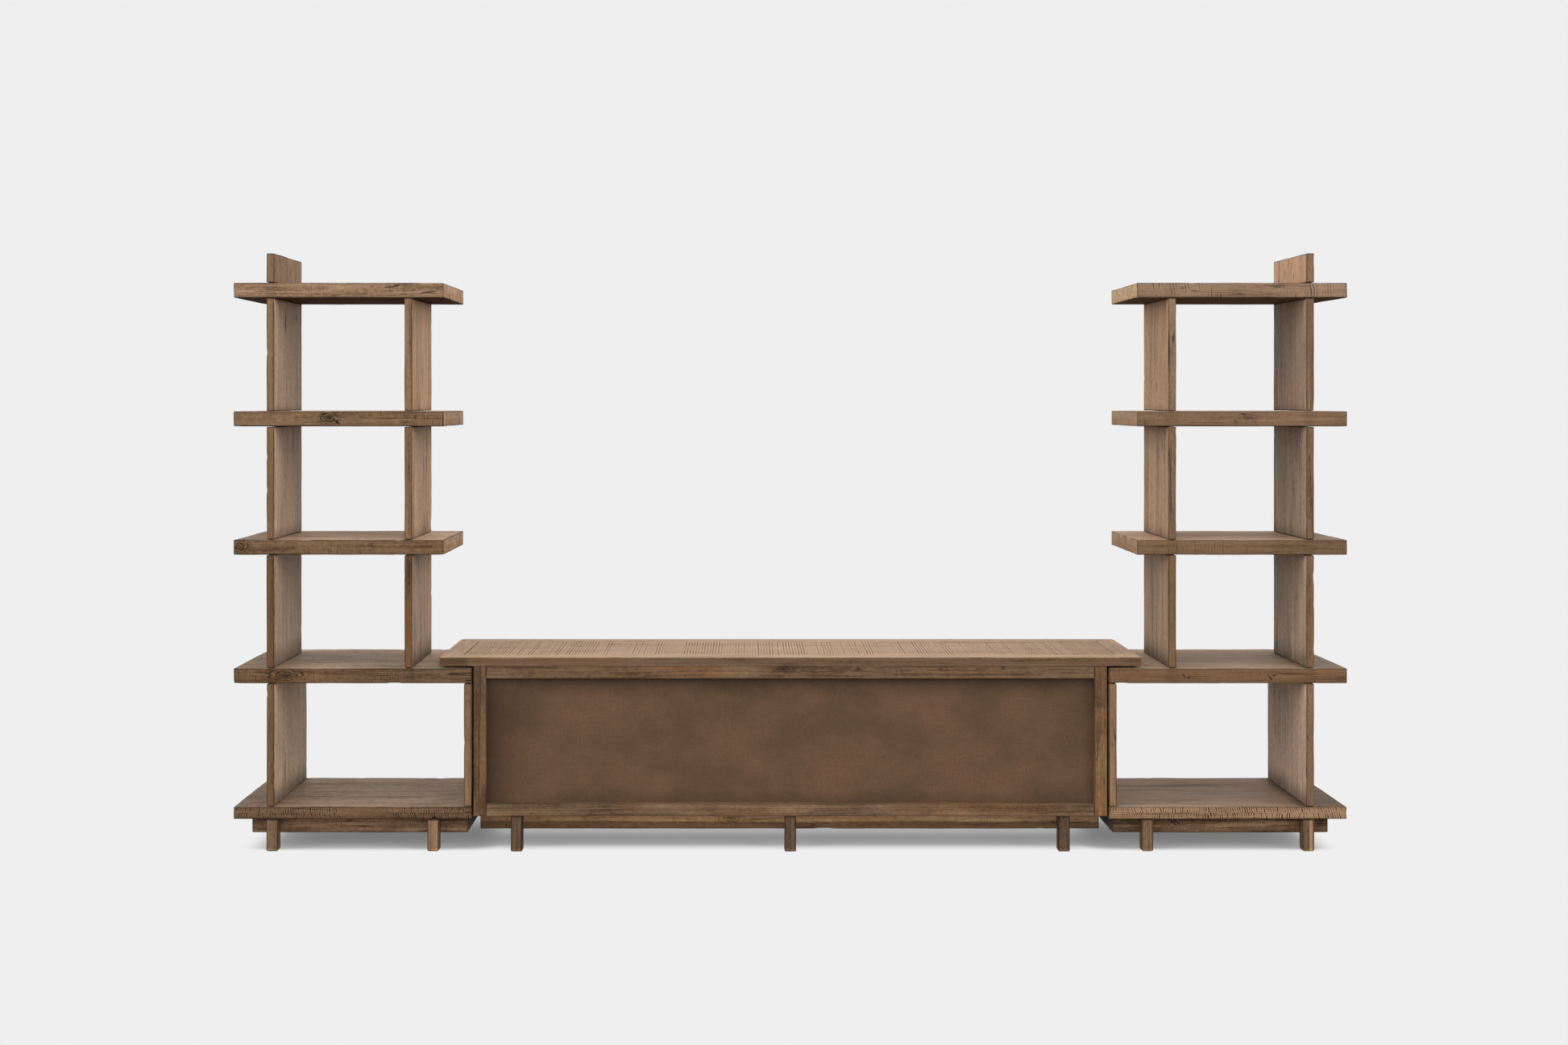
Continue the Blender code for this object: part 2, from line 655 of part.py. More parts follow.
def build_carcass():
    """Side panels, bottom, rails, back sheet, partition and inner shelves."""
    bottom = bottom_block()
    rails = {"console_rear_rail": rear_rail_block(), "console_head_rail": head_rail_block()}
    back = back_sheet_block()
    partition = partition_block()
    both_ends = ((WIDE, -1), (WIDE, 1))
    for name, side in (("left", -1), ("right", 1)):
        cuts = [bottom.tongue_pocket(WIDE, side, BOTTOM_TONGUE_THICK, BOTTOM_TONGUE_LENGTH)]
        for rail in rails.values():
            cuts.append(rail.tongue_pocket(WIDE, side, RAIL_TENON_THICK, RAIL_TENON_LENGTH))
        shelf = inner_shelf_block().on_side(side)
        cuts.append(back.grown(FIT_GAP))
        cuts.append(shelf.grown(FIT_GAP))
        panel = board(f"console_side_{name}", side_panel_block().on_side(side), FRAME_WOOD)
        cut_blocks(panel, cuts)
        board(f"console_shelf_{name}", shelf, FRAME_WOOD)
    for name, block in rails.items():
        rail = board(name, block, FRAME_WOOD, both_ends, RAIL_TENON_THICK, RAIL_TENON_LENGTH)
        if name == "console_rear_rail":
            cut_blocks(rail, [back.grown(FIT_GAP)])
        else:
            grooves = door_groove_blocks(HEAD_UNDERSIDE - CUT_OVERRUN, HEAD_UNDERSIDE + HEAD_GROOVE_DEPTH)
            cut_blocks(rail, grooves)
    board("console_back_sheet", back, BACK_SHEET)
    notched = [block.grown(FIT_GAP) for block in rails.values()]
    for side in (-1, 1):
        notched.append(inner_shelf_block().on_side(side).grown(FIT_GAP))
    cut_blocks(board("console_partition", partition, FRAME_WOOD), notched)
    sill = board("console_bottom_panel", bottom, FRAME_WOOD, both_ends, BOTTOM_TONGUE_THICK, BOTTOM_TONGUE_LENGTH)
    cuts = [back.grown(FIT_GAP), partition.grown(FIT_GAP)]
    cuts += door_groove_blocks(FLOOR_TOP - SILL_GROOVE_DEPTH, FLOOR_TOP + CUT_OVERRUN)
    for block in console_leg_blocks().values():
        cuts.append(block.tongue_pocket(TALL, 1, LEG_TENON_THICK, LEG_TENON_LENGTH))
    cut_blocks(sill, cuts)


def console_leg_blocks():
    outer = CONSOLE_WIDTH / 2 - CONSOLE_LEG_INSET - LEG_SIZE
    places = (("left", -outer - LEG_SIZE), ("middle", -LEG_SIZE / 2), ("right", outer))
    return leg_blocks(places, CONSOLE_LEG_HEIGHT)


def build_console():
    build_carcass()
    build_console_top()
    for name, block in console_leg_blocks().items():
        leg(f"console_{name}", block)
    reach = CONSOLE_WIDTH / 2 - CONSOLE_PLINTH_END_INSET
    setback = CONSOLE_PLINTH_SETBACK
    plinth = Block(
        (-reach, BACK + setback, PLINTH_CLEARANCE),
        (reach, FRONT - setback, CONSOLE_LEG_HEIGHT - FIT_GAP),
    )
    ring_frame("console_plinth_frame", plinth, PLINTH_RAIL_THICK, PLINTH_WOOD)
    for name, side in (("left", -1), ("right", 1)):
        build_door(f"console_door_{name}", side)
        build_pull(f"door_pull_{name}", side)


def main():
    clear_scene()
    build_console()
    build_tower("left", -1)
    build_tower("right", 1)


main()
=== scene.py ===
import math

import bmesh
import bpy
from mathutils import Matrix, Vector, noise


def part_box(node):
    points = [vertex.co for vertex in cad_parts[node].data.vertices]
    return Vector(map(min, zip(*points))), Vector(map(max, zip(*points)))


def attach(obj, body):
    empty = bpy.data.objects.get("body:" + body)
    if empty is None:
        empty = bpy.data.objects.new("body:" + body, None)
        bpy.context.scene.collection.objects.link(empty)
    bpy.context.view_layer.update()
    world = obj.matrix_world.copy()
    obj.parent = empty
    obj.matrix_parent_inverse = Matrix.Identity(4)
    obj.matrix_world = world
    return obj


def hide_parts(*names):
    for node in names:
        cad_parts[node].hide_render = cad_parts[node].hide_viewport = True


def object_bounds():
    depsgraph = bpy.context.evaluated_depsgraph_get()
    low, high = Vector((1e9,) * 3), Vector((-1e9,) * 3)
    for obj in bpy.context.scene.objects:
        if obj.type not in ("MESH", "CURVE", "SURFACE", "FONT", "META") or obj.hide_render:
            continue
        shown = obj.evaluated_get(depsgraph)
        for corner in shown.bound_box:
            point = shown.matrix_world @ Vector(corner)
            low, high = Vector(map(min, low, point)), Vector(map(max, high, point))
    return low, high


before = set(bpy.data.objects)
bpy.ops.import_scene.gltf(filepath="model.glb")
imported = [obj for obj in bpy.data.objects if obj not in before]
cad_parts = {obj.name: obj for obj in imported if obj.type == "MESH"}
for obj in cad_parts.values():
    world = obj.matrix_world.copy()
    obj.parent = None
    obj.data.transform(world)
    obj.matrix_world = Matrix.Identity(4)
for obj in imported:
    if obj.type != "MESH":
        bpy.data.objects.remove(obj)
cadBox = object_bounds()
print("frame loaded:", len(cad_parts), "CAD nodes")

# the axes by number: along the set, from its photographed rear to its front, and up
wide, deep, tall = range(3)


def stain(*channels):
    # a colour as picked from a picture, made linear for the shader; none here is near black
    return (*(((channel / 255 + 0.055) / 1.055) ** 2.4 for channel in channels), 1.0)


def sumOf(operation, turned=False):
    # a method that joins a Wire and other values in one maths node
    def method(self, *others):
        values = (*others, self) if turned else (self, *others)
        return self.tree.add("ShaderNodeMath", {"operation": operation}, dict(enumerate(values)))
    return method


class Wire:
    # one socket in a Tree, so that shader maths reads as plain sums
    def __init__(self, tree, socket):
        self.tree = tree
        self.socket = socket

    __add__ = sumOf("ADD")
    __radd__ = sumOf("ADD", turned=True)
    __sub__ = sumOf("SUBTRACT")
    __rsub__ = sumOf("SUBTRACT", turned=True)
    __mul__ = sumOf("MULTIPLY")
    __rmul__ = sumOf("MULTIPLY", turned=True)
    __truediv__ = sumOf("DIVIDE")
    __pow__ = sumOf("POWER")
    __abs__ = sumOf("ABSOLUTE")
    above = sumOf("GREATER_THAN")
    least = sumOf("MINIMUM")
    most = sumOf("MAXIMUM")
    whole = sumOf("FLOOR")
    fraction = sumOf("FRACT")

    def ease(self, start, end, low=0.0, high=1.0):
        # low at start, high at end, smooth between
        inputs = {"Value": self, "From Min": start, "From Max": end, "To Min": low, "To Max": high}
        return self.tree.add("ShaderNodeMapRange", {"interpolation_type": "SMOOTHSTEP"}, inputs)

    def fade(self, start, end, high=1.0):
        return self.ease(start, end, high, 0.0)


def strongest(marks):
    # the strongest of several marks at each point, or 0 where there are none
    result = 0.0
    for mark in marks:
        result = mark.most(result)
    return result


def dimmed(shade, mark, level):
    # level is the share of the shade that is left where the mark is full
    return shade * (1 + mark * (level - 1))


class Tree:
    # the nodes of a material or of the world, and the ways to add to them
    def __init__(self, owner):
        owner.use_nodes = True
        self.nodes = owner.node_tree.nodes
        self.links = owner.node_tree.links

    def add(self, kind, settings=None, inputs=None, output=0):
        node = self.nodes.new(kind)
        for name, value in (settings or {}).items():
            setattr(node, name, value)
        for name, value in (inputs or {}).items():
            self.feed(node.inputs[name], value)
        return Wire(self, node.outputs[output])

    def feed(self, socket, value):
        if isinstance(value, Wire):
            self.links.new(value.socket, socket)
        else:
            socket.default_value = value

    def seen(self):
        # 1 for what the camera sees, straight or through gloss and glass
        rays = ("Is Camera Ray", "Is Glossy Ray", "Is Transmission Ray")
        return strongest(self.add("ShaderNodeLightPath", output=ray) for ray in rays)

    def show(self, output, amount, under, over):
        # sends a mix of two shaders to the tree's output
        inputs = {0: amount, 1: Wire(self, under.outputs[0]), 2: over}
        mixed = self.add("ShaderNodeMixShader", inputs=inputs)
        self.feed(self.nodes[output].inputs["Surface"], mixed)


class Finish(Tree):
    # one material
    def __init__(self, name):
        self.material = bpy.data.materials.new(name)
        super().__init__(self.material)
        self.shader = self.nodes["Principled BSDF"]
        self.place = self.add("ShaderNodeTexCoord", output="Object")

    def shade(self, name, value):
        self.feed(self.shader.inputs[name], value)

    def axes(self, vector):
        node = self.add("ShaderNodeSeparateXYZ", inputs={"Vector": vector}).socket.node
        return [Wire(self, output) for output in node.outputs]

    def vector(self, x, y, z):
        return self.add("ShaderNodeCombineXYZ", inputs={0: x, 1: y, 2: z})

    def stretch(self, vector, scale, shift=(0, 0, 0)):
        settings = {"operation": "MULTIPLY_ADD"}
        return self.add("ShaderNodeVectorMath", settings, {0: vector, 1: scale, 2: shift})

    def clouds(self, vector, detail=2.0, roughness=0.5):
        inputs = {"Vector": vector, "Scale": 1.0, "Detail": detail, "Roughness": roughness}
        return self.add("ShaderNodeTexNoise", {"noise_dimensions": "3D"}, inputs)

    def worldClouds(self, scale, detail, roughness=0.5, shift=(0, 0, 0)):
        # noise along the set's own axes, by waves to the metre, from -0.5 to 0.5
        return self.clouds(self.stretch(self.place, scale, shift), detail, roughness) - 0.5

    def chance(self, x, y, z):
        # a random number from 0 to 1 that stays the same wherever the three values do
        inputs = {"Vector": self.vector(x, y, z)}
        return self.add("ShaderNodeTexWhiteNoise", {"noise_dimensions": "3D"}, inputs)

    def radiiFrom(self, place, radii, turn=(0, 0, 0)):
        # where a point lies from a place, and how far that is, both measured in the given radii
        inputs = {"Vector": self.place, "Location": place, "Rotation": turn, "Scale": radii}
        local = self.add("ShaderNodeMapping", {"vector_type": "TEXTURE"}, inputs)
        distance = self.add("ShaderNodeVectorMath", {"operation": "LENGTH"}, {0: local}, output="Value")
        return local, distance

    def blend(self, amount, under, over, way="MIX"):
        settings = {"data_type": "RGBA", "blend_type": way, "clamp_factor": True}
        return self.add("ShaderNodeMix", settings, {0: amount, 6: under, 7: over}, output=2)

    def bump(self, height, depth):
        # depth is the height in metres that a height of 1 stands for
        inputs = {"Height": height, "Distance": depth, "Strength": 1.0}
        self.shade("Normal", self.add("ShaderNodeBump", inputs=inputs))


# how the stained pine looks; each board's own dictionary changes some of these
pine = {
    "light": (150, 124, 100),
    "base": (128, 101, 78),
    "dark": (92, 69, 51),
    "warmth": 0.10,  # how far the stain wanders between golden and grey
    "ringGap": 0.0042,  # one year's growth
    "ringDepth": 0.22,
    "heart": (0.16, 0.05),  # where the middle of the log lies from the board's middle
    "wander": 0.010,  # how far the rings stray
    "streaks": 1.2,
    "grain": 1.3,
    "clouds": 0.65,
    "fibres": 0.35,
    "speckle": 0.7,
    "sawMarks": 0.5,
    "sawPitch": 0.0095,  # from one saw mark to the next
    "sawLean": 0.08,  # how far the marks slant
    "sawSway": 1.4,  # and how unevenly they stand
    "sawReach": 0.05,  # length of a saw mark across the board
    "sawRows": (),  # heights where the marks break off and start again
    "sawClusters": (5.0, 12.0),  # patches of marks to the metre, along the board and across
    "sawCover": 0.0,  # more than 0 leaves fewer bare places
    "sawFade": 0.055,  # how softly a patch starts and ends
    "sawOnEdges": 1.0,
    "sawOnFaces": 0.5,
    "staves": 0.15,  # how much glued boards differ
    "checks": 0.7,  # short drying cracks along the grain
    "pinKnots": 0.5,
    "knotDark": 0.8,
    "rim": (0.0014, 0.0062),  # width of the dark arris and of its soft inner border
    "rimDark": 0.62,  # less than 0 rubs the arris pale
    "rough": 0.62,
    "gloss": 0.12,
    "edgeTint": (1.0, 1.0, 1.0),  # the narrow edges' share of each channel
    "faceTint": (1.0, 1.0, 1.0),  # the wide faces'
    "underShadeTint": None,  # the undersides', where they differ from the wide faces: painted shade
    "endTint": (1.0, 1.0, 1.0),
    "joints": (),  # glued joints across the board, from its middle
    "knots": (),  # (x, y, z, radius along the board, radius across it)
    "cracks": (),  # (x, y, z, half length, half width, slope)
    "outerEnd": None,  # (distance from the set's middle, tone past it above, and below)
    "smudges": (),  # (x, half width, tone): darker places on the narrow edges
    "shadeBesideUpright": (),  # (distance from the set's middle, reach, tone): painted shade on a shelf's upper face beside an upright
    "shadeAtFoot": None,  # (reach, tone): painted shade at the foot of an upright's wide faces
    "lightUnderShelf": None,  # (tone of the wide faces close under a shelf, just below, farther down): painted light close under the shelf and painted shade farther down
    "foot": 0.0,  # how pale a leg's foot is worn
    "band": None,  # (height where it starts, height where it is full, tint)
}
# noise by waves to the metre along the grain and across it, detail and roughness
patterns = {
    "wander": (1.1, 5.0, 2.0, 0.5),
    "ripple": (6.0, 30.0, 1.0, 0.5),
    "streak": (1.3, 42.0, 4.0, 0.62),
    "grain": (4.0, 105.0, 2.0, 0.6),
    "speckle": (70.0, 130.0, 1.0, 0.5),
    "fibre": (9.0, 420.0, 2.0, 0.5),
    "cloud": (4.5, 11.0, 3.0, 0.6),
    "sway": (18.0, 30.0, 2.0, 0.6),
    "check": (2.6, 70.0, 0.0, 0.5),
    "checkPatch": (5.0, 24.0, 0.0, 0.5),
    "golden": (2.2, 8.0, 2.0, 0.5),
}
# how far each board's noise lies from the next one's, for a seed that is one higher
seedShift = (3.17, 1.31, 2.23)
# pairs named for a shape are where it starts and where it is full or gone
glueShape = {"line": (0.0004, 0.0012), "staveShift": (5.3, 2.9), "dark": 0.48}
ringShape = {"ripple": 0.0022, "rise": (0.35, 0.92), "fall": (0.93, 1.0)}
knotShape = {
    "ragged": 1.5,  # how far noise bends the outline, in radii
    "raggedDetail": 3.0,
    "bulge": (0.0, 2.8),  # how far out the rings bend, in radii
    "bulgeShare": 1.6,  # and how much, in radii across the board
    "curls": 1.9,  # dark curls round the knot, to a radius
    "curlRise": (0.35, 0.6),
    "curlFall": (0.75, 0.95),
    "curlReach": (1.2, 2.4),
    "curlDark": 0.9,
    "heart": (0.2, 0.8),
    "heartDark": (0.9, 0.35),
    "rim": (0.9, 1.15),
}
crackShape = {"radius": 3, "line": (0.25, 1.0), "dark": 0.85, "deep": 2}
sawShape = {
    "rowShift": 0.45,  # how far the marks jump from one row to the next, in pitches
    "depths": (0.15, 1.0),  # of the faintest stroke and the deepest
    "lengthsAlong": 45.0,
    "lengthEdge": (0.46, 0.54),
    "mark": (0.08, 0.26),
    "ridge": (0.28, 0.44),
    "dark": 0.55,
    "pale": 0.25,
    "rough": 0.15,
}
checkShape = {"line": (0.006, 0.022), "patch": (0.60, 0.68), "dark": 0.75, "deep": 1.4}
pinShape = {"cells": (7.0, 19.0), "spot": (0.035, 0.11), "rare": 0.80, "dark": 0.6}
rimShape = {"level": 0.95, "clouds": 1.2, "speckle": 1.6}
footShape = {"arris": (0.0, 0.002, 0.4, 1.0), "start": (0.0015, 0.0035), "end": (0.007, 0.011)}
dirtAndShadeShape = {
    "outerEnd": 0.03,  # softness of each border, in metres
    "smudge": 0.012,
    "underShelfLitReach": (0.0, 0.07),
    "underShelfLitFall": (0.03, 0.20),
}
# how far noise moves the borders of dirt, stain, painted shade and painted light
stray = {"smudge": 0.02, "shadeBesideUpright": 0.01, "shadeAtFoot": 0.03, "lightUnderShelf": 0.02, "band": 0.012}
sideEdge = 0.001  # half the width over which a face turns into an edge
endGrain = (0.0005, 0.0030)
relief = {"depth": 0.0007, "fibre": 0.5, "grain": 0.6, "lateWood": 0.25}
roughness = {"streak": 0.12, "under": 0.38}  # undersides were left unplaned


class PineBoard(Finish):
    # the finish of one board, measured from its middle: along the grain, across it and through it
    def __init__(self, name, look, low, high, along, seed):
        super().__init__(name)
        self.look = {**pine, **look}
        self.low = low
        self.high = high
        self.along = along
        self.seed = seed
        size = high - low
        middle = (low + high) / 2
        others = [axis for axis in range(3) if axis != along]
        order = [along, *sorted(others, key=lambda axis: -size[axis])]
        self.world = self.axes(self.place)
        self.inside = [self.world[axis] - middle[axis] for axis in order]
        self.toSides = [size[axis] / 2 - abs(value) for axis, value in zip(order, self.inside)]
        self.shift = tuple(seed * step for step in seedShift)
        self.staveTone, self.glueLine = self.staves()
        self.grainPlace = self.vector(*self.inside)
        self.onFace = (self.toSides[1] - self.toSides[2]).ease(-sideEdge, sideEdge)
        self.under = self.inside[2].fade(-sideEdge, sideEdge) if self.look["underShadeTint"] else 0.0
        self.cloud = self.around("cloud")
        self.speckle = self.around("speckle")

    def staves(self):
        # glued boards: each stave has its own grain and tone
        across = self.inside[1]
        joints = self.look["joints"]
        if not joints:
            return 0.0, 0.0
        stave = sum(across.above(joint) for joint in joints)
        lines = (abs(across - joint).fade(*glueShape["line"]) for joint in joints)
        tone = self.chance(stave, self.seed, 0.5) - 0.5
        x, y, z = self.shift
        shiftX, shiftZ = glueShape["staveShift"]
        self.shift = self.vector(stave * shiftX + x, y, stave * shiftZ + z)
        return tone, strongest(lines)

    def scaled(self, alongScale, acrossScale):
        return self.stretch(self.grainPlace, (alongScale, acrossScale, acrossScale), self.shift)

    def pattern(self, word):
        alongScale, acrossScale, detail, rough = patterns[word]
        return self.clouds(self.scaled(alongScale, acrossScale), detail, rough)

    def around(self, word):
        # a pattern from -0.5 to 0.5
        return self.pattern(word) - 0.5

    def radii(self, alongRadius, acrossRadius):
        return [alongRadius if axis == self.along else acrossRadius for axis in range(3)]

    def knots(self):
        # how far knots push the rings aside, and how they darken
        push = 0.0
        hearts = []
        for x, y, z, alongRadius, acrossRadius in self.look["knots"]:
            local, distance = self.radiiFrom((x, y, z), self.radii(alongRadius, acrossRadius))
            ragged = self.clouds(self.stretch(local, (1, 1, 1), (x, y, z)), knotShape["raggedDetail"]) - 0.5
            distance = distance + ragged * knotShape["ragged"]
            push = distance.fade(*knotShape["bulge"]) * (acrossRadius * knotShape["bulgeShare"]) + push
            curl = (distance * knotShape["curls"]).fraction()
            swirl = curl.ease(*knotShape["curlRise"]) * curl.fade(*knotShape["curlFall"])
            swirl = swirl * distance.fade(*knotShape["curlReach"], knotShape["curlDark"])
            heart = distance.ease(*knotShape["heart"], *knotShape["heartDark"])
            hearts.append((heart * distance.fade(*knotShape["rim"])).most(swirl))
        return push, strongest(hearts)

    def cracks(self):
        lines = []
        for x, y, z, halfLength, halfWidth, slope in self.look["cracks"]:
            radii = self.radii(halfLength, halfWidth * crackShape["radius"])
            _, distance = self.radiiFrom((x, y, z), radii, (0, -slope, 0))
            lines.append(distance.fade(*crackShape["line"]))
        return strongest(lines)

    def lateWood(self, push):
        # the dark part of each year's ring
        heartAcross, heartThrough = self.look["heart"]
        _, b, c = self.inside
        spread = ((b + heartAcross) ** 2.0 + (c + heartThrough) ** 2.0) ** 0.5
        place = spread + self.pattern("wander") * (self.look["wander"] * 2)
        place = place + self.pattern("ripple") * ringShape["ripple"] + push
        ring = (place / self.look["ringGap"]).fraction()
        return ring.ease(*ringShape["rise"]) * ring.fade(*ringShape["fall"])

    def sawStrokes(self):
        # strokes lie across the board, in patches and of uneven length and depth
        look = self.look
        a, b, c = self.inside
        row = sum(c.above(height) for height in look["sawRows"]) * sawShape["rowShift"]
        place = (a + (b + c) * look["sawLean"]) / look["sawPitch"]
        place = place + self.pattern("sway") * look["sawSway"] + row
        stroke = abs(place.fraction() - 0.5)
        depth = self.chance(place.whole(), row, self.seed).ease(0.0, 1.0, *sawShape["depths"])
        length = self.clouds(self.scaled(sawShape["lengthsAlong"], 1 / look["sawReach"]), 1.0)
        length = (length + look["sawCover"]).ease(*sawShape["lengthEdge"])
        patch = self.clouds(self.scaled(*look["sawClusters"]), 1.0)
        patch = (patch + look["sawCover"]).ease(0.5 - look["sawFade"], 0.5 + look["sawFade"])
        share = self.onFace.ease(0.0, 1.0, look["sawOnEdges"], look["sawOnFaces"]) * look["sawMarks"]
        strength = patch * length * share * depth
        return stroke.fade(*sawShape["mark"]) * strength, stroke.ease(*sawShape["ridge"]) * strength

    def checks(self):
        # short drying cracks
        line = abs(self.around("check")).fade(*checkShape["line"])
        return line * self.pattern("checkPatch").ease(*checkShape["patch"]) * self.look["checks"]

    def pinKnots(self):
        inputs = {"Vector": self.scaled(*pinShape["cells"]), "Scale": 1.0}
        distance = self.add("ShaderNodeTexVoronoi", {"feature": "F1"}, inputs)
        kind = self.add("ShaderNodeTexVoronoi", {"feature": "F1"}, inputs, output="Color")
        rare = self.axes(kind)[0].above(pinShape["rare"])
        return distance.fade(*pinShape["spot"]) * rare * self.look["pinKnots"]

    def rim(self):
        # the arris nearest to a point is as far away as the second nearest of the sides
        nearest = self.toSides[0].least(self.toSides[1])
        farther = self.toSides[0].most(self.toSides[1])
        toArris = nearest.most(farther.least(self.toSides[2]))
        uneven = self.cloud * rimShape["clouds"] + self.speckle * rimShape["speckle"] + rimShape["level"]
        return toArris.fade(*self.look["rim"]) * uneven * self.look["rimDark"]

    def wear(self, shade):
        # a worn foot, darker places, and painted shade and painted light near the uprights, where each board
        # has them
        look = self.look
        x = self.world[wide]
        z = self.world[tall]
        if look["foot"]:
            # a pale worn strip above the dark lower arris
            worn = z.ease(*footShape["start"]) * z.fade(*footShape["end"])
            shade = shade * (1 + worn * look["foot"]) * z.ease(*footShape["arris"])
        if look["outerEnd"]:
            reach, above, below = look["outerEnd"]
            past = abs(x).ease(reach, reach + dirtAndShadeShape["outerEnd"]) * self.onFace
            shade = dimmed(shade, past, self.under * (below - above) + above)
        for place, halfWidth, level in look["smudges"]:
            distance = abs(x - place) + self.cloud * stray["smudge"]
            smudge = distance.fade(halfWidth, halfWidth + dirtAndShadeShape["smudge"]) * (1 - self.onFace)
            shade = dimmed(shade, smudge, level)
        # painted shade on the upper face beside an upright
        for place, reach, level in look["shadeBesideUpright"]:
            distance = abs(abs(x) - place) + self.cloud * stray["shadeBesideUpright"]
            shadeBeside = distance.fade(0.0, reach) * self.onFace * (1 - self.under)
            shade = dimmed(shade, shadeBeside, level)
        # painted shade at the foot of the wide faces
        if look["shadeAtFoot"]:
            reach, level = look["shadeAtFoot"]
            height = z - self.low.z + self.cloud * stray["shadeAtFoot"]
            shade = dimmed(shade, height.fade(0.0, reach) * self.onFace, level)
        # painted light close under the shelf above, painted shade lower down
        if look["lightUnderShelf"]:
            close, upper, lower = look["lightUnderShelf"]
            fromTop = self.high.z - z + self.cloud * stray["lightUnderShelf"]
            underShelfLight = fromTop.ease(*dirtAndShadeShape["underShelfLitReach"], close, 1.0)
            underShelfLight = underShelfLight * fromTop.ease(*dirtAndShadeShape["underShelfLitFall"], upper, lower)
            shade = dimmed(shade, self.onFace, underShelfLight)
        return shade

    def tints(self, shade):
        # the stain's strength in each channel, on edges, faces, undersides and ends; on the towers and the
        # console top the face and underside tints also hold painted light and painted shade
        look = self.look
        onEnd = self.toSides[0].fade(*endGrain)
        golden = self.around("golden")
        band = None
        if look["band"]:
            bandLow, bandHigh, bandTint = look["band"]
            band = (self.world[tall] + self.cloud * stray["band"]).ease(bandLow, bandHigh)
        tints = []
        for channel in range(3):
            edge, face, end = (look[word][channel] for word in ("edgeTint", "faceTint", "endTint"))
            # the undersides get painted shade
            if look["underShadeTint"]:
                face = self.under * (look["underShadeTint"][channel] - face) + face
            tint = self.onFace * (face - edge) + edge
            # more red and less blue where the stain is golden
            tint = tint + onEnd * (end - tint) + golden * (look["warmth"] * (1 - channel) * 2)
            if band is not None:
                tint = tint * band.ease(0.0, 1.0, 1.0, bandTint[channel])
            tints.append(shade * tint)
        return self.vector(*tints)


def pineFinish(name, look, low, high, along, seed):
    # solid stained pine: rings, streaks and stain follow the board right through
    board = PineBoard(name, look, low, high, along, seed)
    look = board.look
    push, knots = board.knots()
    cracks = board.cracks()
    lateWood = board.lateWood(push)
    streak, grain, fibre = (board.around(word) for word in ("streak", "grain", "fibre"))
    sawMark, sawRidge = board.sawStrokes()
    checks = board.checks()
    pins = board.pinKnots()
    tone = (
        0.5
        + streak * look["streaks"]
        + grain * look["grain"]
        + board.speckle * look["speckle"]
        + board.cloud * look["clouds"]
        + fibre * look["fibres"]
        + board.staveTone * look["staves"]
        - lateWood * look["ringDepth"]
    )
    base, light, dark = (stain(*look[word]) for word in ("base", "light", "dark"))
    darker = board.blend(tone.ease(0.0, 0.5), dark, base)
    colour = board.blend(tone.ease(0.5, 1.0), darker, light)
    shade = (1 - board.rim()) * (1 + sawRidge * sawShape["pale"])
    marks = (
        (sawMark, sawShape["dark"]), (checks, checkShape["dark"]), (pins, pinShape["dark"]),
        (board.glueLine, glueShape["dark"]), (knots, look["knotDark"]), (cracks, crackShape["dark"]),
    )
    for mark, darkness in marks:
        shade = shade * (1 - mark * darkness)
    shade = board.wear(shade)
    board.shade("Base Color", board.blend(1.0, colour, board.tints(shade), "MULTIPLY"))
    rough = look["rough"] - streak * roughness["streak"] + sawMark * sawShape["rough"]
    board.shade("Roughness", rough + board.onFace * (board.under * roughness["under"]))
    height = fibre * relief["fibre"] + grain * relief["grain"] - lateWood * relief["lateWood"]
    height = height - sawMark - checks * checkShape["deep"] - pins
    board.bump(height - board.glueLine - cracks * crackShape["deep"], relief["depth"])
    board.shade("Specular IOR Level", look["gloss"])
    return board.material


def cadBlock(node, trim=(0, 0, 0), topTrim=None):
    # a node's box without the tongues that are hidden in other boards
    low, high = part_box(node)
    return low + Vector(trim), high - Vector(trim if topTrim is None else topTrim)


def dressNode(node, material):
    # a CAD node that keeps its solid and gets a new finish
    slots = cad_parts[node].data.materials
    slots.clear()
    slots.append(material)


def newBlock(low, high):
    bm = bmesh.new()
    bmesh.ops.create_cube(bm, size=1)
    bmesh.ops.scale(bm, vec=high - low, verts=bm.verts)
    bmesh.ops.translate(bm, vec=(low + high) / 2, verts=bm.verts)
    return bm


def longEdges(bm, axis, length):
    # the edges that run along an axis for more than a length
    return [edge for edge in bm.edges if abs(edge.verts[1].co[axis] - edge.verts[0].co[axis]) > length]


def bevelEdges(bm, edges, width, steps):
    bmesh.ops.bevel(
        bm, geom=edges, offset=width, offset_type="OFFSET", segments=steps, profile=0.5,
        affect="EDGES", clamp_overlap=False, material=-1)


# how hand-eased boards are worn
wear = {
    "round": 0.0026,  # radius of an eased arris
    "roundSteps": 3,
    "reach": 1.02,  # radii from a side within which a point belongs to the arris
    "step": 0.016,  # length of a facet along an edge
    "wave": 0.0015,  # how far an arris wanders inwards
    "waves": 9,  # to the metre
    "chip": 0.0022,  # how deep a knock takes an arris back
    "chips": 34,  # to the metre
    "chipFrom": 0.42,  # noise above this is a knock
    "chipFull": 0.4,  # and this much more makes it as deep as it gets
    "sharpFrom": 42,  # degrees between two faces that meet in a crisp edge
}


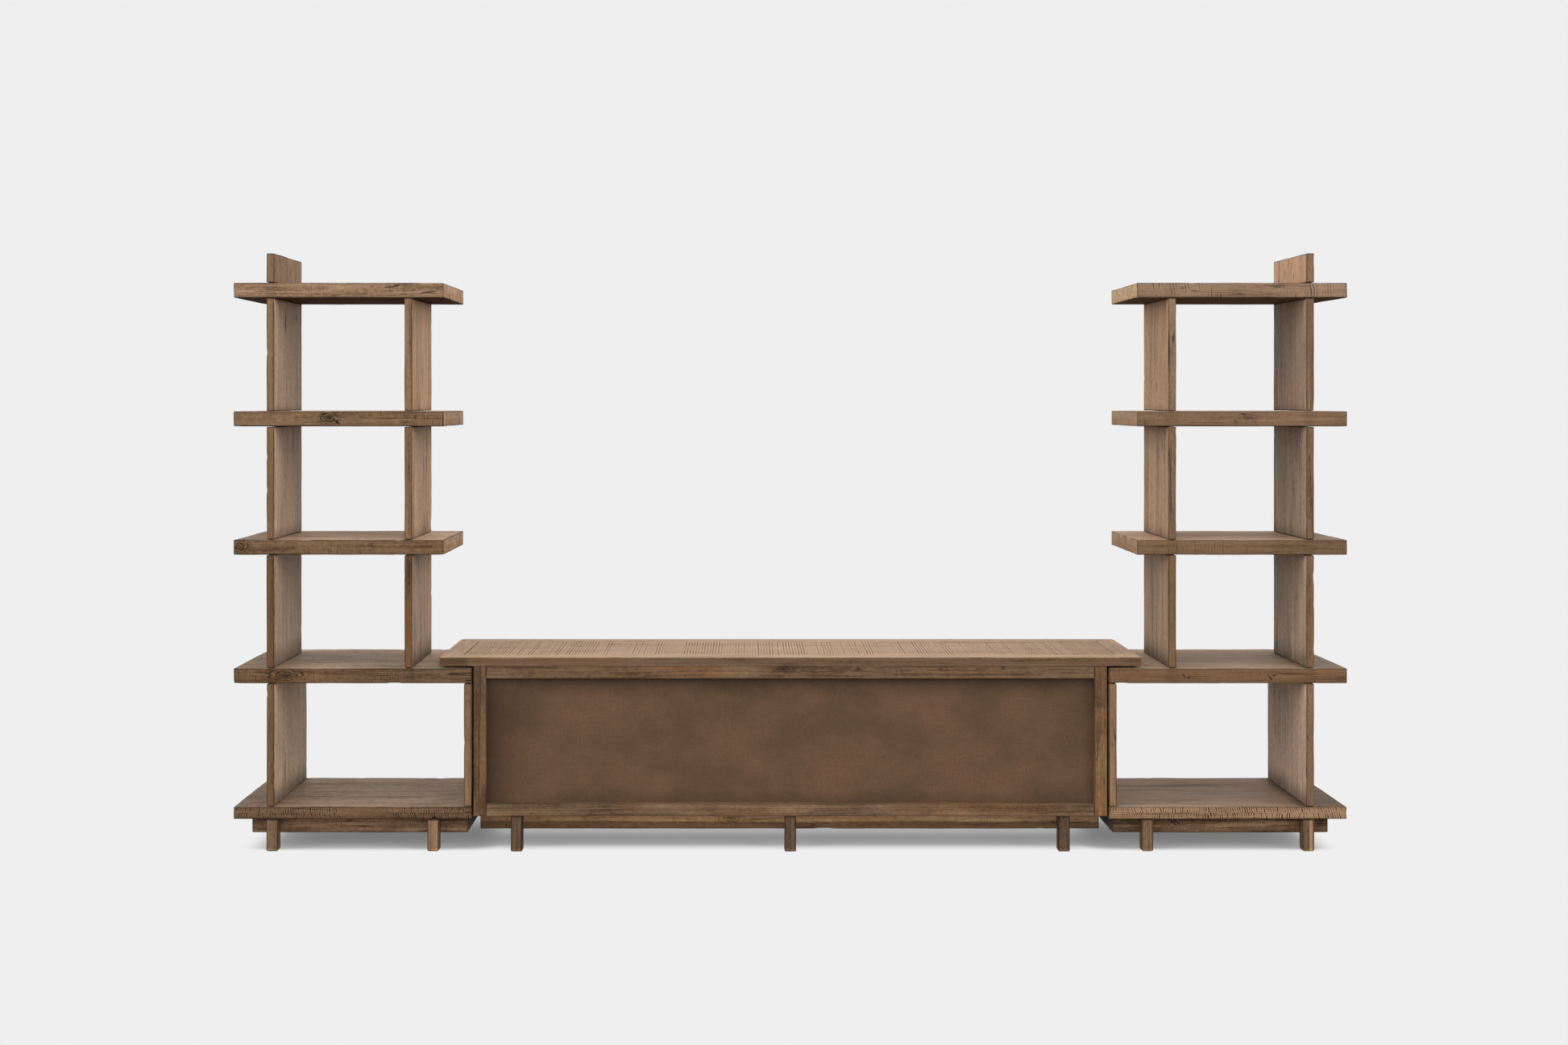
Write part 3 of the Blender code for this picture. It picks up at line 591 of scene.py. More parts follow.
def wornShell(low, high, seed, amounts=wear):
    # one closed board, its arrises rounded and knocked by use
    size = high - low
    centre = (low + high) / 2
    reach = amounts["round"]
    bm = newBlock(low, high)
    bevelEdges(bm, bm.edges[:], reach, amounts["roundSteps"])
    for axis in range(3):
        cuts = int(size[axis] / amounts["step"])
        lines = longEdges(bm, axis, size[axis] - 3 * reach)
        if cuts > 1:
            bmesh.ops.subdivide_edges(bm, edges=lines, cuts=cuts - 1, use_grid_fill=True)
    for vert in bm.verts:
        offset = vert.co - centre
        near = [axis for axis in range(3) if size[axis] / 2 - abs(offset[axis]) < reach * amounts["reach"]]
        if len(near) < 2:
            continue
        sway = 0.5 + 0.5 * noise.noise(vert.co * amounts["waves"] + Vector((seed, 2 * seed, 3 * seed)))
        knock = noise.noise(vert.co * amounts["chips"] + Vector((seed * 5, seed, 0))) - amounts["chipFrom"]
        knock = min(1.0, max(0.0, knock) / amounts["chipFull"])
        back = amounts["wave"] * sway + amounts["chip"] * knock
        for axis in near:
            vert.co[axis] -= math.copysign(back, offset[axis])
    return bm


def finishPiece(name, bm, material, nodes):
    # turns a bmesh into a piece of the fixed furniture
    bmesh.ops.recalc_face_normals(bm, faces=bm.faces)
    mesh = bpy.data.meshes.new(name)
    bm.to_mesh(mesh)
    bm.free()
    mesh.shade_smooth()
    mesh.set_sharp_from_angle(angle=math.radians(wear["sharpFrom"]))
    mesh.materials.append(material)
    piece = bpy.data.objects.new(name, mesh)
    bpy.context.scene.collection.objects.link(piece)
    weighted = piece.modifiers.new("evenShading", "WEIGHTED_NORMAL")
    weighted.keep_sharp = True
    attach(piece, "furniture_set")
    if nodes:
        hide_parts(*nodes)


def ringParts(low, high, width, endsRunThrough):
    # the four boards of a frame that lies flat, each with the direction of its grain
    innerLow = low + Vector((width, width, 0))
    innerHigh = high - Vector((width, width, 0))
    endStart, endStop = (low.y, high.y) if endsRunThrough else (innerLow.y, innerHigh.y)
    return {
        "rear": (wide, low, Vector((high.x, innerLow.y, high.z))),
        "front": (wide, Vector((low.x, innerHigh.y, low.z)), high),
        "leftEnd": (deep, Vector((low.x, endStart, low.z)), Vector((innerLow.x, endStop, high.z))),
        "rightEnd": (deep, Vector((innerHigh.x, endStart, low.z)), Vector((high.x, endStop, high.z))),
    }


def wornBoard(node, low, high, along, look, seed, amounts=wear):
    # one board that stands for its CAD node
    bm = wornShell(low, high, seed, amounts)
    material = pineFinish(node + "_pine", look, low, high, along, seed)
    finishPiece(node + "_board", bm, material, [node])


# shelf towers

shelfLook = {
    "light": (152, 124, 98), "base": (128, 101, 77), "dark": (94, 71, 51),
    "joints": (-0.068, 0.072), "streaks": 1.0, "clouds": 0.8, "sawMarks": 0.9, "sawOnFaces": 0.3,
    # the undersides' tint is painted shade
    "underShadeTint": (0.55, 0.42, 0.34), "endTint": (1.39, 1.41, 1.45), "outerEnd": (1.70, 0.63, 0.63),
}
# upper faces of the shelves, paler the higher they are: painted light and painted sheen
shelfFaces = {
    "base": (1.54, 1.71, 2.00), "low": (1.80, 2.10, 2.46), "mid": (2.14, 2.35, 2.64),
    "high": (2.14, 2.35, 2.60), "top": (2.14, 2.35, 2.60),
}
# stain of each shelf's narrow edges, set board by board: each board's own tone with painted light and shade
# in it
shelfEdges = {
    "left_top": (1.63, 1.66, 1.69), "left_high": (1.02, 1.00, 0.94), "left_mid": (0.94, 0.92, 0.84),
    "left_low": (0.73, 0.71, 0.66), "left_base": (0.74, 0.72, 0.70),
    "right_top": (1.50, 1.58, 1.75), "right_high": (1.08, 1.10, 1.13), "right_mid": (0.96, 0.97, 0.90),
    "right_low": (0.96, 0.865, 0.73), "right_base": (1.76, 1.80, 1.84),
}
# the left tower's boards are rougher than the right one's
towerGrain = {
    "left": {"speckle": 1.0, "checks": 0.9},
    "right": {"grain": 0.85, "speckle": 0.45, "streaks": 0.8},
}
baseSaw = {
    "sawPitch": 0.0078, "sawReach": 0.014, "sawRows": (0.001,), "sawCover": 0.08, "sawOnFaces": 0.05,
    "sawSway": 2.6,
}
# edges are darker where uprights meet them: distance from the set's middle, half width, tone
crossings = ((1.697, 0.014, 0.88), (1.247, 0.014, 0.88))
evenGrain = {"streaks": 0.7, "clouds": 0.6}
# where knots and cracks lie: on the rear, and on the uprights' faces towards the middle
rear = -0.225
outerPlane = 1.6835
innerPlane = 1.2335
highEnd = (1.70, 0.95, 0.63)
# in these, underside tints are painted shade and face tints carry painted light and sheen
shelfExtras = {
    "left_top_shelf": {
        "cracks": ((-1.180, rear, 1.826, 0.042, 0.0012, 0.16),), "sawMarks": 0.5,
        "endTint": (1.87, 1.92, 1.95), "underShadeTint": (0.34, 0.22, 0.10), "outerEnd": highEnd},
    "left_high_shelf": {
        "knots": ((-1.504, rear, 1.415, 0.020, 0.013),), "knotDark": 0.9, "outerEnd": highEnd,
        "cracks": ((-1.478, rear, 1.400, 0.016, 0.0020, -0.55),
                   (-1.520, rear, 1.428, 0.014, 0.0014, 0.15))},
    "left_mid_shelf": {
        "knots": ((-1.797, -0.215, 0.996, 0.020, 0.016), (-1.750, -0.220, 0.978, 0.006, 0.004)),
        "outerEnd": (1.70, 0.56, 0.63)},
    "left_low_shelf": {
        "knots": ((-1.650, rear, 0.577, 0.040, 0.012),), "checks": 1.2, "pinKnots": 1.0},
    "left_base_shelf": {**baseSaw, "sawMarks": 1.8, "pinKnots": 1.0, "checks": 1.2},
    "right_top_shelf": {
        "sawMarks": 1.2, "endTint": (2.24, 2.42, 2.54), "underShadeTint": (0.66, 0.68, 0.55),
        "outerEnd": highEnd},
    "right_high_shelf": {
        **evenGrain, "knots": ((1.494, rear, 1.416, 0.020, 0.008), (1.452, rear, 1.404, 0.008, 0.005)),
        "knotDark": 0.55, "rimDark": 0.45, "endTint": (1.46, 1.52, 1.55), "outerEnd": highEnd},
    "right_mid_shelf": {**evenGrain, "rimDark": 0.42, "sawMarks": 0.7},
    "right_low_shelf": {
        **evenGrain, "rimDark": 0.42, "shadeBesideUpright": ((outerPlane, 0.040, 0.70),),
        "cracks": ((1.284, rear, 0.574, 0.012, 0.0014, -0.8), (1.300, rear, 0.568, 0.010, 0.0010, 0.5),
                   (1.566, rear, 0.567, 0.014, 0.0014, -0.9), (1.578, rear, 0.575, 0.010, 0.0010, 0.3))},
    "right_base_shelf": {
        **baseSaw, "sawMarks": 1.9, "streaks": 0.8, "rimDark": 0.5, "faceTint": (1.46, 1.61, 1.92),
        "shadeBesideUpright": ((outerPlane, 0.045, 0.55),), "outerEnd": (1.70, 0.52, 0.63)},
}
uprightLook = {
    "light": (160, 131, 103), "base": (134, 107, 82), "dark": (94, 71, 52),
    "streaks": 1.0, "grain": 1.05, "clouds": 0.5, "sawMarks": 0.12, "ringDepth": 0.18, "checks": 1.0,
    "joints": (-0.024, 0.104),
}
calmGrain = {"streaks": 0.7, "grain": 0.75, "ringDepth": 0.12, "checks": 0.6}
# the stain of each length of the uprights' narrow edges, from the base bay up: each board's own tone with
# painted light and shade in it
uprightEdges = {
    "left_outer": {"panel": (0.78, 0.71, 0.58), "low": (0.68, 0.55, 0.435), "mid": (0.88, 0.82, 0.70),
                   "high": (1.03, 1.02, 0.92), "top": (1.06, 1.02, 0.98)},
    "left_inner": {"panel": (1.07, 1.01, 0.95), "low": (0.76, 0.61, 0.46), "mid": (0.95, 0.84, 0.72),
                   "high": (1.27, 1.14, 1.03)},
    "right_outer": {"panel": (0.89, 0.87, 0.83), "low": (0.91, 0.82, 0.70), "mid": (0.90, 0.85, 0.78),
                    "high": (0.79, 0.75, 0.74), "top": (1.06, 1.02, 0.98)},
    "right_inner": {"panel": (1.20, 1.10, 1.00), "low": (0.82, 0.73, 0.60), "mid": (0.98, 0.93, 0.88),
                    "high": (1.22, 1.22, 1.30)},
}
# wide faces of the uprights: painted light and painted sheen, paler and greyer than the edges
innerFaces = {"panel": (1.30, 1.34, 1.44), "mid": (1.38, 1.40, 1.45), "high": (1.54, 1.50, 1.45)}
uprightFaces = {
    "left_outer": {"panel": (1.95, 2.22, 2.60), "low": (1.79, 2.05, 2.50), "mid": (1.94, 2.17, 2.66),
                   "high": (1.93, 2.19, 2.59), "top": (0.85, 0.85, 0.90)},
    "left_inner": {**innerFaces, "low": (1.13, 1.19, 1.32)},
    "right_outer": {"panel": (1.98, 2.23, 2.82), "low": (1.65, 1.89, 2.33), "mid": (1.53, 1.75, 2.14),
                    "high": (1.35, 1.52, 1.82), "top": (1.72, 1.70, 1.80)},
    "right_inner": {**innerFaces, "low": (1.04, 1.12, 1.26)},
}
# dark dashes and drying cracks seen on single uprights
uprightExtras = {
    "left_outer_upright_top": {"cracks": ((-outerPlane, -0.02, 1.905, 0.024, 0.0012, 0.0),)},
    "left_outer_upright_high": {
        "cracks": ((-outerPlane, -0.085, 1.735, 0.050, 0.0036, 0.0),
                   (-outerPlane, 0.060, 1.755, 0.020, 0.0030, 0.0))},
    "left_outer_panel": {"knots": ((-outerPlane, -0.090, 0.235, 0.045, 0.007),)},
    "left_inner_upright_high": {
        "cracks": ((-innerPlane, -0.045, 1.540, 0.100, 0.0013, 0.0),
                   (-innerPlane, -0.130, 1.475, 0.040, 0.0010, 0.0))},
    "left_inner_upright_low": {"knots": ((-1.245, rear, 0.920, 0.050, 0.005),)},
    "right_outer_upright_top": {
        "cracks": ((outerPlane, 0.010, 1.900, 0.030, 0.0012, 0.0),
                   (outerPlane, -0.090, 1.885, 0.018, 0.0012, 0.0))},
    "right_inner_upright_high": {
        "cracks": ((innerPlane, rear, 1.640, 0.110, 0.0022, 0.0),),
        "knots": ((innerPlane, -0.060, 1.520, 0.010, 0.005),)},
}
# painted shade where an upright's faces meet the shelf below: how far up, tone
shadeAtFootByBay = {"panel": (0.085, 0.38), "low": (0.085, 0.48), "mid": (0.050, 0.65), "high": (0.030, 0.80)}
# painted light on the uprights' wide faces close under a shelf, and painted shade farther down
lightUnderShelfTones = {"outer": (1.28, 1.07, 0.93), "inner": (1.22, 1.0, 1.0)}
uprightTongue = 0.012  # hidden in the shelves


def buildTower(prefix, seed):
    side = -1 if prefix == "left" else 1
    for level, faceTint in shelfFaces.items():
        seed += 1.0
        node = f"{prefix}_{level}_shelf"
        low, high = cadBlock(node)
        look = {
            **shelfLook, **towerGrain[prefix], "edgeTint": shelfEdges[f"{prefix}_{level}"],
            "faceTint": faceTint, **shelfExtras[node]}
        if level != "base":
            look["smudges"] = tuple((side * x, halfWidth, tone) for x, halfWidth, tone in crossings)
        wornBoard(node, low, high, wide, look, seed)
    rows = (f"{prefix}_outer_", f"{prefix}_inner_")
    for node in sorted(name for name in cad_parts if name.startswith(rows)):
        seed += 1.0
        isFin = node.endswith("upright_top")
        low, high = cadBlock(node, (0, 0, uprightTongue), (0, 0, 0 if isFin else uprightTongue))
        bay = node.rsplit("_", 1)[-1]
        row = "outer" if "outer" in node else "inner"
        line = f"{prefix}_{row}"
        look = {
            **uprightLook, "edgeTint": uprightEdges[line][bay], "faceTint": uprightFaces[line][bay],
            "shadeAtFoot": shadeAtFootByBay.get(bay), "lightUnderShelf": None if isFin else lightUnderShelfTones[row]}
        if line == "left_outer":
            look.update(calmGrain)
        look.update(uprightExtras.get(node, {}))
        wornBoard(node, low, high, tall, look, seed)


buildTower("left", 3.0)
buildTower("right", 61.0)
print("tower boards done")


# legs

legSizes = {
    "tenon": 0.014,  # hidden in the board above
    "towerChamfer": 0.008,
    "consoleChamfer": 0.005,
    "arris": 0.0022,
    "bevelSteps": 2,
    "cuts": 7,
    "wave": 0.0006,  # how far an arris wanders inwards
    "waves": 40,  # to the metre
    "towerStain": (1.72, 1.68, 1.60),
    "consoleStain": (0.84, 0.84, 0.86),
    "sideShade": 0.45,  # the sides are painted darker: painted shade
}
legLook = {
    "light": (134, 109, 85), "base": (108, 85, 65), "dark": (78, 59, 44),
    "streaks": 1.4, "sawMarks": 0.15, "rim": (0.0018, 0.0068), "checks": 0.8, "joints": (0.001,),
    "foot": 0.8,
}


def buildLeg(node, seed):
    low, high = cadBlock(node, (0, 0, 0), (0, 0, legSizes["tenon"]))
    centre = (low + high) / 2
    half = (high.z - low.z) / 2
    group = "console" if node.startswith("console") else "tower"
    chamfer = legSizes[group + "Chamfer"]
    bm = newBlock(low, high)
    foot = min(bm.faces, key=lambda face: face.calc_center_median().z)
    bevelEdges(bm, foot.edges[:], chamfer, legSizes["bevelSteps"])
    bevelEdges(bm, longEdges(bm, tall, half), legSizes["arris"], legSizes["bevelSteps"])
    bmesh.ops.subdivide_edges(
        bm, edges=longEdges(bm, tall, half), cuts=legSizes["cuts"], use_grid_fill=True)
    for vert in bm.verts:
        sway = 0.5 + 0.5 * noise.noise(vert.co * legSizes["waves"] + Vector((seed, 0, seed)))
        if low.z + chamfer < vert.co.z < high.z - chamfer:
            vert.co.x -= math.copysign(legSizes["wave"] * sway, vert.co.x - centre.x)
            vert.co.y -= math.copysign(legSizes["wave"] * sway, vert.co.y - centre.y)
    stainShare = legSizes[group + "Stain"]
    # painted shade on the legs' sides
    sideShare = tuple(share * legSizes["sideShade"] for share in stainShare)
    look = {**legLook, "edgeTint": sideShare, "faceTint": stainShare}
    material = pineFinish(node + "_pine", look, low, high, tall, seed)
    finishPiece(node + "_worn", bm, material, [node])


for count, node in enumerate(sorted(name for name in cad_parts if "_leg_" in name)):
    buildLeg(node, 90.0 + count)
print("legs done")


# plinth frames

plinthRail = 0.026
plinthLook = {
    "light": (160, 128, 98), "base": (115, 88, 65), "dark": (64, 47, 34),
    "clouds": 1.5, "streaks": 1.5, "sawMarks": 0.6,
}
plinthExtras = {
    # paler all over and pale along its upper edge: partly bare wood, partly painted light that lifts it out
    # of the shade under the console
    "console_plinth_frame_rear": {
        "light": (164, 130, 98), "base": (136, 104, 76), "dark": (92, 67, 48),
        "streaks": 0.6, "grain": 0.8, "clouds": 0.7, "band": (0.073, 0.084, (3.0, 3.15, 3.05)),
        "knots": ((-0.19, -0.135, 0.088, 0.030, 0.014),), "knotDark": 0.5},
    "right_plinth_frame_rear": {
        "cracks": ((1.258, -0.186, 0.086, 0.030, 0.0013, -0.75),
                   (1.272, -0.186, 0.086, 0.026, 0.0010, -0.65))},
}


def buildPlinth(node, seed):
    # four rails butted into a frame; the long rails run through
    rails = ringParts(*cadBlock(node), plinthRail, False)
    for word, (along, start, end) in rails.items():
        seed += 1.0
        bm = wornShell(start, end, seed)
        look = {**plinthLook, **plinthExtras.get(f"{node}_{word}", {})}
        material = pineFinish(f"{node}_{word}_pine", look, start, end, along, seed)
        stands = [node] if word == "rear" else []
        finishPiece(f"{node}_{word}", bm, material, stands)


for count, node in enumerate(("left_plinth_frame", "right_plinth_frame", "console_plinth_frame")):
    buildPlinth(node, 120.0 + 5 * count)
print("plinths done")


# console

frameLook = {
    "light": (134, 107, 83), "base": (110, 85, 64), "dark": (80, 60, 45),
    "warmth": 0.30, "streaks": 0.9, "grain": 0.9, "speckle": 0.8, "clouds": 1.8, "sawMarks": 0.1,
    "rimDark": 0.26,
}
# the console is planed more sharply than the towers
planed = {**wear, "round": 0.0012, "roundSteps": 2, "wave": 0.0005, "chip": 0.0012}
# boards that show: direction of the grain, length hidden at each end, and their own looks
frameBoards = {
    "console_side_left": (tall, 0, {"edgeTint": (1.12, 1.12, 1.03), "streaks": 2.0, "grain": 1.9}),
    "console_side_right": (tall, 0, {
        "edgeTint": (1.53, 1.36, 0.98), "streaks": 1.3, "grain": 1.3,
        "band": (0.466, 0.474, (0.66, 0.68, 0.76))}),
    "console_bottom_panel": (wide, 0.012, {"edgeTint": (1.18, 1.15, 1.06), "streaks": 1.1, "grain": 1.35}),
    "console_rear_rail": (wide, 0.015, {
        "edgeTint": (1.21, 1.16, 1.07),
        "knots": ((-0.021, rear, 0.596, 0.024, 0.006), (0.222, rear, 0.596, 0.006, 0.0055),
                  (0.693, rear, 0.600, 0.006, 0.0045))}),
}
# boards inside, with the direction of the grain and the seed
innerBoards = {
    "console_partition": (tall, 154.0), "console_shelf_left": (wide, 155.0),
    "console_shelf_right": (wide, 156.0), "console_head_rail": (wide, 160.0),
}
for count, (node, (along, hidden, extras)) in enumerate(frameBoards.items()):
    low, high = cadBlock(node, (hidden, 0, 0))
    wornBoard(node, low, high, along, {**frameLook, **extras}, 150.0 + count, planed)
for node, (along, seed) in innerBoards.items():
    dressNode(node, pineFinish(node + "_pine", frameLook, *cadBlock(node), along, seed))

topSizes = {
    "tongue": 0.008,  # hidden in the border
    "border": 0.068,
    "corner": 0.016,  # radius of the front corners
    "cornerSteps": 8,
    "arris": 0.0008,
    "arrisSteps": 2,
    "arrisFrom": 0.8,  # radians between two faces that get an arris
    "near": 0.001,  # how near to a side a corner's edge is looked for
    "snap": 0.00002,  # how near to a mitre a point counts as on it
    "merge": 0.00005,
}
topLook = {
    "light": (125, 101, 80), "base": (113, 89, 70), "dark": (90, 68, 50),
    # the wide faces' tint: a paler finish and painted sheen
    "faceTint": (2.43, 2.64, 2.75), "edgeTint": (0.96, 0.93, 0.87),
    "streaks": 0.9, "grain": 0.8, "clouds": 0.5, "ringDepth": 0.08,
    "sawMarks": 1.1, "sawReach": 0.07, "sawCover": 0.24, "sawClusters": (5.0, 8.0), "sawFade": 0.20,
    "sawSway": 0.6, "sawOnEdges": 0.0, "sawOnFaces": 1.0, "sawLean": 0.0, "rimDark": 0.15,
    "joints": (-0.052, 0.052),
}
# the border's arrises are rubbed pale, and it is darker towards its ends
borderLook = {
    **topLook, "joints": (), "sawMarks": 0.0, "rimDark": -0.22, "streaks": 1.4, "grain": 1.2,
    "smudges": ((-1.105, 0.045, 0.62), (1.130, 0.015, 0.80)),
}
# the border's strips with their two mitred corners, by side along the set and towards the front
borderStrips = {
    "rear": ((-1, -1), (1, -1)), "front": ((1, 1), (-1, 1)),
    "leftEnd": ((-1, 1), (-1, -1)), "rightEnd": ((1, -1), (1, 1)),
}


def roundedFrame(low, high):
    # the border in one piece, with its rounded front corners
    size = high - low
    centre = (low + high) / 2
    bm = bmesh.new()
    bmesh.ops.create_grid(bm, x_segments=1, y_segments=1, size=0.5)
    bmesh.ops.scale(bm, vec=(size.x, size.y, 1), verts=bm.verts)
    bmesh.ops.translate(bm, vec=(centre.x, centre.y, low.z), verts=bm.verts)
    inner = bm.faces[:]
    bmesh.ops.inset_region(
        bm, faces=inner, thickness=topSizes["border"], use_boundary=True, use_even_offset=True)
    bmesh.ops.delete(bm, geom=inner, context="FACES")
    drawn = bmesh.ops.extrude_face_region(bm, geom=bm.faces[:])
    raised = [item for item in drawn["geom"] if isinstance(item, bmesh.types.BMVert)]
    bmesh.ops.translate(bm, vec=(0, 0, size.z), verts=raised)
    bmesh.ops.recalc_face_normals(bm, faces=bm.faces)
    rounds = []
    for edge in longEdges(bm, tall, size.z / 2):
        spot = (edge.verts[0].co + edge.verts[1].co) / 2
        atEnd = abs(spot.x - centre.x) > size.x / 2 - topSizes["near"]
        if atEnd and spot.y > high.y - topSizes["near"]:
            rounds.append(edge)
    bevelEdges(bm, rounds, topSizes["corner"], topSizes["cornerSteps"])
    return bm


def sliceStrip(bm, word, low, high):
    # leaves one strip of the frame, cut along its two mitres
    size = high - low
    centre = (low + high) / 2
    isLong = word in ("rear", "front")
    cuts = []
    if isLong:
        cuts.append((centre, Vector((0, 1 if word == "rear" else -1, 0))))
    for sideX, sideY in borderStrips[word]:
        corner = Vector((centre.x + sideX * size.x / 2, centre.y + sideY * size.y / 2, low.z))
        facing = Vector((sideX, -sideY, 0)) if isLong else Vector((-sideX, sideY, 0))
        cuts.append((corner, facing))
    for spot, facing in cuts:
        everything = bm.verts[:] + bm.edges[:] + bm.faces[:]
        bmesh.ops.bisect_plane(
            bm, geom=everything, dist=topSizes["snap"], plane_co=spot, plane_no=facing, clear_outer=True)
    bmesh.ops.remove_doubles(bm, verts=bm.verts, dist=topSizes["merge"])
    bmesh.ops.holes_fill(bm, edges=[edge for edge in bm.edges if edge.is_boundary])
    bmesh.ops.recalc_face_normals(bm, faces=bm.faces)
    bm.normal_update()
    sharp = [edge for edge in bm.edges if edge.is_manifold and edge.calc_face_angle() > topSizes["arrisFrom"]]
    bevelEdges(bm, sharp, topSizes["arris"], topSizes["arrisSteps"])


def buildBorder():
    low, high = cadBlock("console_top_border")
    strips = ringParts(low, high, topSizes["border"], True)
    for count, (word, (along, start, end)) in enumerate(strips.items()):
        bm = roundedFrame(low, high)
        sliceStrip(bm, word, low, high)
        name = f"console_top_border_{word}"
        material = pineFinish(name + "_pine", borderLook, start, end, along, 180.0 + count)
        stands = ["console_top_border"] if word == "rear" else []
        finishPiece(name, bm, material, stands)


fieldLow, fieldHigh = cadBlock("console_top_panel", (topSizes["tongue"], topSizes["tongue"], 0))
wornBoard("console_top_panel", fieldLow, fieldHigh, wide, topLook, 171.0, planed)
buildBorder()
print("console top done")

sheetLook = {
    "grooved": 0.008,  # hidden in the frame all round
    "light": (109, 82, 62),
    "dark": (94, 73, 53),
    # the dark edges: partly a burnished stain, partly painted shade of the recess in the frame
    "edge": (66, 49, 36),
    "edgeShare": 0.76,
    "mottle": ((5.0, 5.0, 7.0), 4.0, 0.6, (3.1, 0.4, 1.7)),
    "mottleMix": (-0.18, 0.18),
    "wobble": 0.055,  # how unevenly the dark edges reach inwards
    "edges": {"left": (0.20, 1.0), "right": (0.12, 0.28), "top": (0.08, 1.0), "bottom": (0.05, 0.5)},
    "warp": ((30.0, 30.0, 380.0), 2.0),
    "weft": ((380.0, 30.0, 30.0), 2.0),
    "weaveShade": 0.3,
    "weaveDepth": 0.0003,
    "dust": ((160.0, 160.0, 160.0), 1.0),
    "dustShade": 0.35,
    "rough": (0.5, 0.2),
}


def sheetFinish():
    finish = Finish("console_back_sheet_toned")
    low, high = cadBlock("console_back_sheet", (sheetLook["grooved"],) * 3)
    x, _, z = finish.axes(finish.place)
    inwards = {"left": x - low.x, "right": high.x - x, "top": high.z - z, "bottom": z - low.z}
    mottle, warp, weft, dust = (
        finish.worldClouds(*sheetLook[word]) for word in ("mottle", "warp", "weft", "dust"))
    weave = warp + weft
    wobble = mottle * sheetLook["wobble"]
    # painted shade of the recess, with the burnished stain, along each side
    sides = []
    for word, (reach, level) in sheetLook["edges"].items():
        sides.append((inwards[word] + wobble).fade(0.0, reach, level))
    light, dark, edge = (stain(*sheetLook[word]) for word in ("light", "dark", "edge"))
    colour = finish.blend(mottle.ease(*sheetLook["mottleMix"]), dark, light)
    colour = finish.blend(strongest(sides) * sheetLook["edgeShare"], colour, edge)
    shade = 1 + weave * sheetLook["weaveShade"] + dust * sheetLook["dustShade"]
    finish.shade("Base Color", finish.blend(1.0, colour, finish.vector(shade, shade, shade), "MULTIPLY"))
    rough, roughMottle = sheetLook["rough"]
    finish.shade("Roughness", rough + mottle * roughMottle)
    finish.bump(weave, sheetLook["weaveDepth"])
    finish.shade("Specular IOR Level", pine["gloss"])
    return finish.material


dressNode("console_back_sheet", sheetFinish())

doorBoards = 6
doorLook = {
    "light": (150, 122, 98), "base": (122, 95, 73), "dark": (86, 65, 48), "sawMarks": 0.6,
}
for count, node in enumerate(("console_door_left", "console_door_right")):
    low, high = cadBlock(node)
    width = (high.x - low.x) / doorBoards
    joints = tuple(width * (line - doorBoards / 2) for line in range(1, doorBoards))
    look = {**doorLook, "joints": joints}
    dressNode(node, pineFinish(node + "_pine", look, low, high, tall, 200.0 + count))

brassLook = {
    "dark": (96, 74, 44),
    "light": (150, 122, 76),
    "patina": ((60.0, 60.0, 60.0), 4.0, 0.6),
    "patinaMix": (-0.15, 0.15),
    "brush": ((900.0, 40.0, 40.0), 1.0),
    "brushDepth": 0.0001,
    "rough": (0.44, 0.2, 0.1),  # in the middle, what patina changes, what brushing changes
}


def brassFinish():
    finish = Finish("aged_brass_pull")
    patina, brush = (finish.worldClouds(*brassLook[word]) for word in ("patina", "brush"))
    dark, light = (stain(*brassLook[word]) for word in ("dark", "light"))
    finish.shade("Base Color", finish.blend(patina.ease(*brassLook["patinaMix"]), dark, light))
    middle, patinaShare, brushShare = brassLook["rough"]
    finish.shade("Roughness", middle + patina * patinaShare + brush * brushShare)
    finish.shade("Metallic", 1.0)
    finish.bump(brush, brassLook["brushDepth"])
    return finish.material


brass = brassFinish()
dressNode("door_pull_left", brass)
dressNode("door_pull_right", brass)
print("console done")


# studio

studio = {
    "paper": (239, 239, 239),
    "floorReach": 30.0,
    "floorSeen": 0.655,  # how pale the floor is to the camera under this light
    "floorBounce": 0.10,  # and to the light that it throws back up
    "shadowShare": 0.81,  # how much of the real shadow shows under the furniture
    "shadowEnd": 0.95,
    "shadowEnds": 0.12,  # how far inside the ends and the rear face it fades
    "shadowRear": 0.060,
    "shadowFront": 0.50,  # how far it reaches past the front
    "litRear": 0.055,  # how much farther in it fades under the console
    "litWidth": (0.95, 1.05),  # under the console the shadow is painted paler, as if light came through from the far side
    "litDepth": (-0.06, 0.10),
    "litShare": (0.07, 0.32),  # how much of it, near the camera and far away
    "roomLevel": 1.0,
    "lampLevel": 1.55,
    "lampSpread": 65,  # degrees to each side of the camera
    "lampRise": 20,
    "lampSoftness": 50,
}


def buildRoom():
    world = bpy.data.worlds.new("softRoom")
    bpy.context.scene.world = world
    room = Tree(world)
    light = room.nodes["Background"]
    light.inputs["Color"].default_value = (1, 1, 1, 1)
    light.inputs["Strength"].default_value = studio["roomLevel"]
    paper = room.add("ShaderNodeBackground", inputs={"Color": stain(*studio["paper"])})
    room.show("World Output", room.seen(), light, paper)


